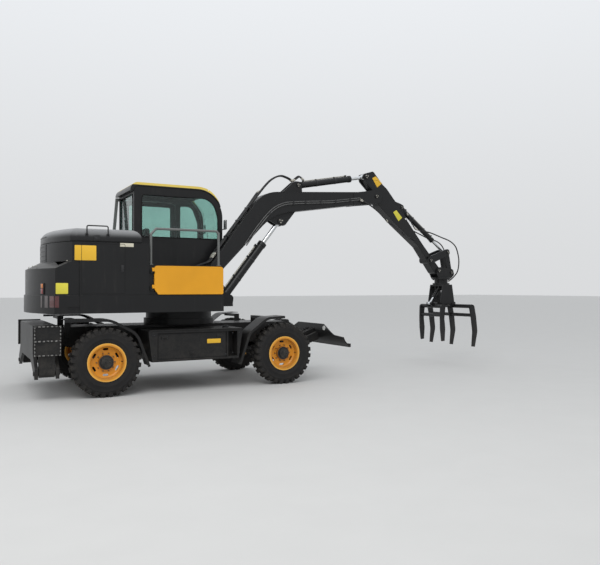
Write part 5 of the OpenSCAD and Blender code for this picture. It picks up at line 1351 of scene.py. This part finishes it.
class EXCAVATOR_OT_arm_lines(bpy.types.Operator):
    """Run the hoses over the arm's joint, along the arm and down to the grapple"""
    bl_idname = "excavator.arm_lines"
    bl_label = "Arm and grapple hoses"

    def execute(self, context):
        r = context.scene.excavator_line.hose_diameter * 500 - 3
        under = []
        for k, y in enumerate((-262, -290)):
            low = 20 * k
            under.append(flowing([(3020 - 10 * k, y + 12 - 2 * k, 2832 - 24 * k), (3110, y, 2790 - low),
                                  (3240, y, 2726 - low), (3380, y + 8, 2640 - low),
                                  (3490, y + 22, 2560 - low), (3590, -222 - 2 * k, 2500 - 18 * k)]))
        crimped("knuckle_hoses", under, "boom", r,
                across=("boom", "arm", (3160, -262, 2760), (3520, -240, 2540)))
        side = [bent(on_side([(3590, 2500 - 22 * k), (3760, 2420 - 30 * k), (4000, 2262 - 30 * k),
                              (4190, 2190 - 30 * k)], -220), 120) for k in (0, 1)]
        drawn("arm_pipes", [(path, r * 0.66) for path in side], "arm", "cast_grey", "pipe", 12)
        clamp = Shape().block((-13, -30, 0), (13, 30, 8), 2).block((-11, -27, 7), (11, 27, 26), 6, 3)
        places = [((x, ARM_SIDE + 0.3, z), (0, -1, 0), turn)
                  for x, z, turn in ((3700, 2437, 0.47), (3930, 2290, 0.6))]
        scatter("arm_clamps", clamp, places, "arm", "dark_plastic", "plastic")
        drop = []
        for hand, out in ((-1, 0), (1, 14)):
            # Rows of: along, sideways from the boom's middle, height
            rows = [(4215, 68, 2390), (4330, 96, 2362), (4480, 152, 2330), (4702, 174, 2258),
                    (4905, 174, 2196 + out), (5040, 174, 2098 + out), (5104 + out, 174, 1930),
                    (5112 + out, 174, 1780), (5092 + out, 150, 1640), (5034 + out, 82, 1530),
                    (4984, 42, 1478)]
            drop.append(flowing([(x, BOOM_Y + hand * side, z) for x, side, z in rows]))
        crimped("grapple_hoses", drop, "arm", r,
                across=("arm", "grapple_head", (4600, -120, 2290), (5080, -120, 1640)))
        feed = [flowing(on_side([(4030, 2660), (4080, 2590), (4140, 2480), (4215, 2390)], y))
                for y in (-188, -52)]
        crimped("arm_hoses", feed, "arm", r)
        outline = rounded([(3165, 3160, 0), (3290, 3015, 50), (3425, 2752, 80), (3762, 2466, 0),
                           (4273, 2084, 200), (4646, 1604, 60), (4772, 1676, 60), (4376, 2110, 60),
                           (4030, 2520, 60), (3960, 2650, 40), (3740, 2880, 0), (3592, 3048, 100),
                           (3400, 3190, 60)])
        beads = [(on_side(wider(outline, -8), y), 2.5, True) for y in (ARM_SIDE - 0.4, -34.6)]
        drawn("arm_welds", beads, "arm", "black_paint", "boom", 6)
        return {"FINISHED"}


def dress_cylinder(name, base, eye, y, r, length, neck, body):
    """Steel pipe, port blocks, straps and the gland's screws on one cylinder."""
    run = (Vector(eye) - Vector(base)).normalized()
    up = Vector((-run.y, run.x))
    if up.y < 0:
        up = -up

    def spot(along, off):
        p = Vector(base) + run * along + up * off
        return (p.x, y, p.y)

    ports = Shape()
    near, far = neck + r * 1.1, length - r * 1.7
    for along in (near, far):
        ports.at = facing(spot(along, r * 1.28), (up.x, 0, up.y), math.pi / 2)
        ports.block((-r * 0.36, -r * 0.42, 0), (r * 0.36, r * 0.42, r * 0.14), 3)
    ports.done(name + "_ports", body, "cast_grey", "pipe")
    pipe = [spot(far, r * 1.19), spot(near, r * 1.19)]
    drawn(name + "_pipe", [(pipe, r * 0.15)], body, "cast_grey", "zinc", 10)
    straps = Shape()
    for share in (0.36, 0.7):
        origin = spot(length * share, 0)
        straps.at = Matrix.Identity(4)
        straps.lathe([(r * 0.98, -12), (r * 1.05, -12), (r * 1.05, 12), (r * 0.98, 12)], origin,
                     (run.x, 0, run.y), 40, True)
        straps.at = facing(spot(length * share, r), (up.x, 0, up.y), math.pi / 2)
        straps.block((-r * 0.24, -12, -1), (r * 0.24, 12, r * 0.38), 3)
    straps.done(name + "_straps", body, "cast_grey", "pipe")
    screws = []
    ahead = (run.x, 0, run.y)
    middle = Vector(spot(length, 0))
    for k in range(8):
        a = math.tau * (k + 0.5) / 8
        off = Vector((up.x * math.cos(a), math.sin(a), up.y * math.cos(a))) * r * 0.9
        screws.append((tuple(middle + off), ahead))
    unit = Shape().lathe([(r * 0.1, -1), (r * 0.1, r * 0.12), (r * 0.085, r * 0.14), (r * 0.055, r * 0.14),
                          (r * 0.05, r * 0.07)], n=12)
    scatter(name + "_screws", unit, screws, body, "cast_grey", "zinc")
    wiper = Shape().lathe([(r * 0.56, -1), (r * 0.78, -1), (r * 0.76, 6), (r * 0.6, 8), (r * 0.56, 6)],
                          spot(length, 0), ahead, 32, True)
    wiper.done(name + "_wiper", body, "dark_plastic", "seal")


class EXCAVATOR_OT_cylinders(bpy.types.Operator):
    """Dress the cylinders and close the pins with caps, keepers and bolts"""
    bl_idname = "excavator.cylinders"
    bl_label = "Cylinders and pins"

    def execute(self, context):
        for name, (base, eye), r, length, neck, body in (
                ("boom_cylinder", BOOM_CYL, 62, 1080, 72, "boom_barrel"),
                ("arm_cylinder", ARM_CYL, 50, 1026, 76, "arm_barrel"),
                ("tilt_cylinder", TILT_CYL, 42, 900, 72, "tilt_barrel")):
            dress_cylinder(name, base, eye, BOOM_Y, r, length, neck, body)
        caps = {"boom": [(BOOM_TIP, 133, 32), (ARM_CYL[0], 80, 32), (BOOM_CYL[1], 88, 42)],
                "arm": [(ARM_CYL[1], 101, 38), (TILT_CYL[0], 64, 26), (ROCKER_PIN, 141, 26)],
                "rocker": [(TILT_CYL[1], 131, 30)],
                "grapple_head": [(ARM_TIP, 125, 30), (LINK_PIN, 125, 28)],
                "upper": [(BOOM_FOOT, 161, 32)]}
        for body, rows in caps.items():
            keepers, bolts = Shape(), []
            for (x, z), reach, r in rows:
                for hand in (-1, 1):
                    y = BOOM_Y + hand * reach
                    keepers.lathe([(r * 0.92, -1), (r * 0.98, 1), (r * 0.98, 5), (r * 0.86, 7)], (x, y, z),
                                  (0, hand, 0), 28)
                    keepers.lathe([(r * 0.2, 6), (r * 0.2, 9), (r * 0.12, 11), (r * 0.12, 15), (r * 0.16, 17),
                                   (r * 0.1, 19)], (x, y, z), (0, hand, 0), 10)
                    for k in range(3):
                        a = math.tau * k / 3 + 0.4
                        bolts.append(((x + r * 0.58 * math.cos(a), y + hand * 6, z + r * 0.58 * math.sin(a)),
                                      (0, hand, 0), a, r / 32))
            keepers.done("pin_caps_" + body, body, "cast_grey", "pipe")
            scatter("pin_bolts_" + body, hex_bolt(6.5, 6), bolts, body, "cast_grey", "zinc")
        r = context.scene.excavator_line.hose_diameter * 500 - 2
        side = BOOM_Y - 34
        low = flowing([(480, side, 1150), (500, side, 1250), (580, side, 1360), (640, BOOM_Y - 17, 1392),
                       (652, BOOM_Y, 1348)])
        crimped("boom_cylinder_hose", [low], "upper", r,
                across=("upper", "boom_barrel", (500, -120, 1200), (640, -120, 1380)))
        run = (Vector(ARM_CYL[1]) - Vector(ARM_CYL[0])).normalized()
        port = Vector(ARM_CYL[0]) + run * (76 + 55) + Vector((-run.y, run.x)) * 78
        top = [flowing([(1800, y, 3046), (1860, y, 3084 + k * 16),
                        (1930, BOOM_Y + (y - BOOM_Y) * 0.6, 3124 + k * 14),
                        (port.x - 8 + k * 24, BOOM_Y + (y - BOOM_Y) * 0.3, port.y + 4)])
               for k, y in enumerate((-172, -140))]
        crimped("arm_cylinder_hoses", top, "boom", r,
                across=("boom", "arm_barrel", (1830, -120, 3060), (1960, -120, 3110)))
        return {"FINISHED"}


class EXCAVATOR_OT_undercarriage(bpy.types.Operator):
    """Add the tread plates, box hinges, filler cap, valves, bolts and edge wear plates"""
    bl_idname = "excavator.undercarriage"
    bl_label = "Undercarriage trim"

    def execute(self, context):
        bar = Shape().prism([(-13, 0), (0, -3.6), (13, 0), (0, 3.6)], 0, 1.7, "xy")
        marks = []
        for hand in (-1, 1):
            for i in range(32):
                for j in range(16):
                    x, y = -690 + i * 40 + (j % 2) * 20, hand * (352 + j * 40)
                    if x < 565 and abs(y) < 985:
                        marks.append(((x, y, 814.6), (0, 0, 1), math.pi / 4 * (1 if (i + j) % 2 else -1)))
        scatter("deck_treads", bar, marks, "chassis", "black_paint", "chassis")
        hinges, bolts = Shape(), []
        for x in (-500, 260):
            hinges.block((x - 44, -981, 690), (x + 44, -975, 742), 2)
            hinges.bar((x - 44, -984, 716), (x + 44, -984, 716), 6, 12)
            bolts += [((x + dx, -981, z), (0, -1, 0)) for dx in (-30, 30) for z in (700, 732)]
        hinges.block((-160, -984, 470), (-96, -975, 520), 4)
        hinges.block((-140, -990, 484), (-104, -982, 506), 3)
        hinges.done("box_hinges", "chassis", "black_paint", "chassis")
        bolts.append(((348, -976, 463), (0, -1, 0), 0, 1.6))
        for hand in (-1, 1):
            bolts += [((x, hand * 994, z), (0, hand, 0)) for x in (-660, -640, 440, 540) for z in (480, 750)]
        scatter("box_bolts", hex_bolt(7, 6), bolts, "chassis", "cast_grey", "pipe")
        seam = [([(x, -977, z) for x, z in panel(-588, 438, 350, 764, 14)], 2.6, True)]
        drawn("box_seal", seam, "chassis", "dark_plastic", "seal", 6)
        cap = Shape().lathe([(46, 0), (46, 10), (40, 12), (40, 22), (36, 26), (10, 27)], (430, -760, 814.5),
                            (0, 0, 1), 32)
        cap.block((422, -790, 838), (438, -730, 848), 3)
        cap.done("tank_cap", "chassis", "dark_plastic", "plastic")
        for end, x in (("rear", -AXLE_X), ("front", AXLE_X)):
            for hand, y in (("left", TYRE_Y), ("right", -TYRE_Y)):
                out = 1 if y > 0 else -1
                face, corner = y + out * 88, f"{end}_{hand}"
                hub = Shape().lathe([(66, -1), (66, 3), (58, 6), (20, 7), (18, 12), (8, 13)],
                                    (x, face, AXLE_Z), (0, out, 0), 36)
                hub.lathe([(12, 0), (12, 7), (9, 9)], (x + 40, face + out * 5, AXLE_Z), (0, out, 0), 6)
                hub.done("hub_cap_" + corner, "wheel_" + corner, "cast_grey", "black")
                ring = [((x + 78 * math.cos(a), y + out * 71.5, AXLE_Z + 78 * math.sin(a)), (0, out, 0), a)
                        for a in [math.tau * k / 12 for k in range(12)]]
                scatter("hub_bolts_" + corner, hex_bolt(6, 6), ring, "wheel_" + corner, "cast_grey", "pipe")
                valve = Shape().lathe([(7, 0), (7, 16), (5, 18), (5, 34), (7, 36), (7, 50), (5, 52)],
                                      (x + 196, y + out * 20, AXLE_Z), (0, out, 0), 12)
                valve.done("valve_" + corner, "wheel_" + corner, "dark_plastic", "seal")
        edge = [((2348.2, y, 495), (1, 0, 0)) for y in range(-925, 926, 185)]
        scatter("blade_edge_bolts", hex_bolt(11, 7), edge, "blade", "cast_grey", "worn")
        lip = Shape().block((2318, -999, 475.2), (2349, 999, 486), 1.5)
        lip.done("blade_edge_wear", "blade", "cast_grey", "worn")
        return {"FINISHED"}


class EXCAVATOR_OT_stage(bpy.types.Operator):
    """Set the floor, the soft light and the camera"""
    bl_idname = "excavator.stage"
    bl_label = "Stage"

    def execute(self, context):
        settings = context.scene.excavator_stage
        scene = context.scene
        lens = bpy.data.cameras.new("Camera")
        lens.lens, lens.sensor_width, lens.sensor_fit = settings.lens, 36, "HORIZONTAL"
        camera = bpy.data.objects.new("Camera", lens)
        camera.location = CAMERA_PLACE
        camera.rotation_euler = [math.radians(angle) for angle in CAMERA_TURN]
        scene.collection.objects.link(camera)
        scene.camera = camera
        mesh = bpy.data.meshes.new("floor")
        corners = ((-1, -1), (1, -1), (1, 1), (-1, 1))
        mesh.from_pydata([(x * FLOOR_REACH, y * FLOOR_REACH, 0) for x, y in corners], [], [(0, 1, 2, 3)])
        floor = bpy.data.objects.new("floor", mesh)
        scene.collection.objects.link(floor)
        material, tree = fresh("Plain floor")
        where = tree.place()
        grain = tree.noise(where, 2.2, 5, 0.6)
        colour = tuple(settings.floor_colour)
        surface(tree, {"Specular IOR Level": 0.2, "Roughness": 0.85,
                       "Base Color": tree.mix(grain, tinted(colour, 0.97), tinted(colour, 1.03))})
        mesh.materials.append(material)
        lamp = bpy.data.lights.new("Soft lamp", "AREA")
        lamp.energy, lamp.shape, lamp.size = settings.lamp_power, "DISK", LAMP_SIZE
        light = bpy.data.objects.new("Soft lamp", lamp)
        light.location = LAMP_PLACE
        light.rotation_euler = (Vector(LAMP_TARGET) - light.location).to_track_quat("-Z", "Y").to_euler()
        scene.collection.objects.link(light)
        world = bpy.data.worlds.new("Overcast")
        scene.world = world
        world.use_nodes = True
        world.node_tree.nodes.clear()
        tree = Tree(world.node_tree)
        height = tree.parts(tree.node("ShaderNodeTexCoord", None, None, "Generated"))[2]
        sky = tree.mix(tree.steps(height, -0.05, 0.75), (0.70, 0.71, 0.72), tuple(settings.sky_colour))
        tree.node("ShaderNodeOutputWorld", None,
                  {0: tree.node("ShaderNodeBackground", None, {"Color": sky, "Strength": 1.0})})
        scene.view_settings.view_transform = "Standard"
        return {"FINISHED"}


PIECES = [EXCAVATOR_OT_finishes, EXCAVATOR_OT_tyres, EXCAVATOR_OT_seat, EXCAVATOR_OT_labels,
          EXCAVATOR_OT_hood_trim, EXCAVATOR_OT_cab_trim, EXCAVATOR_OT_cab_inside, EXCAVATOR_OT_boom_lines,
          EXCAVATOR_OT_arm_lines, EXCAVATOR_OT_cylinders, EXCAVATOR_OT_undercarriage, EXCAVATOR_OT_stage]
SETTINGS = {"excavator_finish": FinishSettings, "excavator_tyre": TyreSettings,
            "excavator_line": LineSettings, "excavator_stage": StageSettings}


class EXCAVATOR_PT_panel(bpy.types.Panel):
    """The excavator's settings and pieces"""
    bl_label = "Excavator"
    bl_idname = "EXCAVATOR_PT_panel"
    bl_space_type = "VIEW_3D"
    bl_region_type = "UI"
    bl_category = "Excavator"

    def draw(self, context):
        for key, group in SETTINGS.items():
            box = self.layout.box()
            for name in group.__annotations__:
                box.prop(getattr(context.scene, key), name)
        for piece in PIECES:
            self.layout.operator(piece.bl_idname)


def register():
    for group in SETTINGS.values():
        bpy.utils.register_class(group)
    for key, group in SETTINGS.items():
        setattr(bpy.types.Scene, key, PointerProperty(type=group))
    for made in (*PIECES, EXCAVATOR_PT_panel):
        bpy.utils.register_class(made)


def unregister():
    for made in (EXCAVATOR_PT_panel, *reversed(PIECES)):
        bpy.utils.unregister_class(made)
    for key, group in SETTINGS.items():
        delattr(bpy.types.Scene, key)
        bpy.utils.unregister_class(group)


def main():
    register()
    for piece in PIECES:
        group, name = piece.bl_idname.split(".")
        getattr(getattr(bpy.ops, group), name)()


if __name__ == "__main__":
    main()
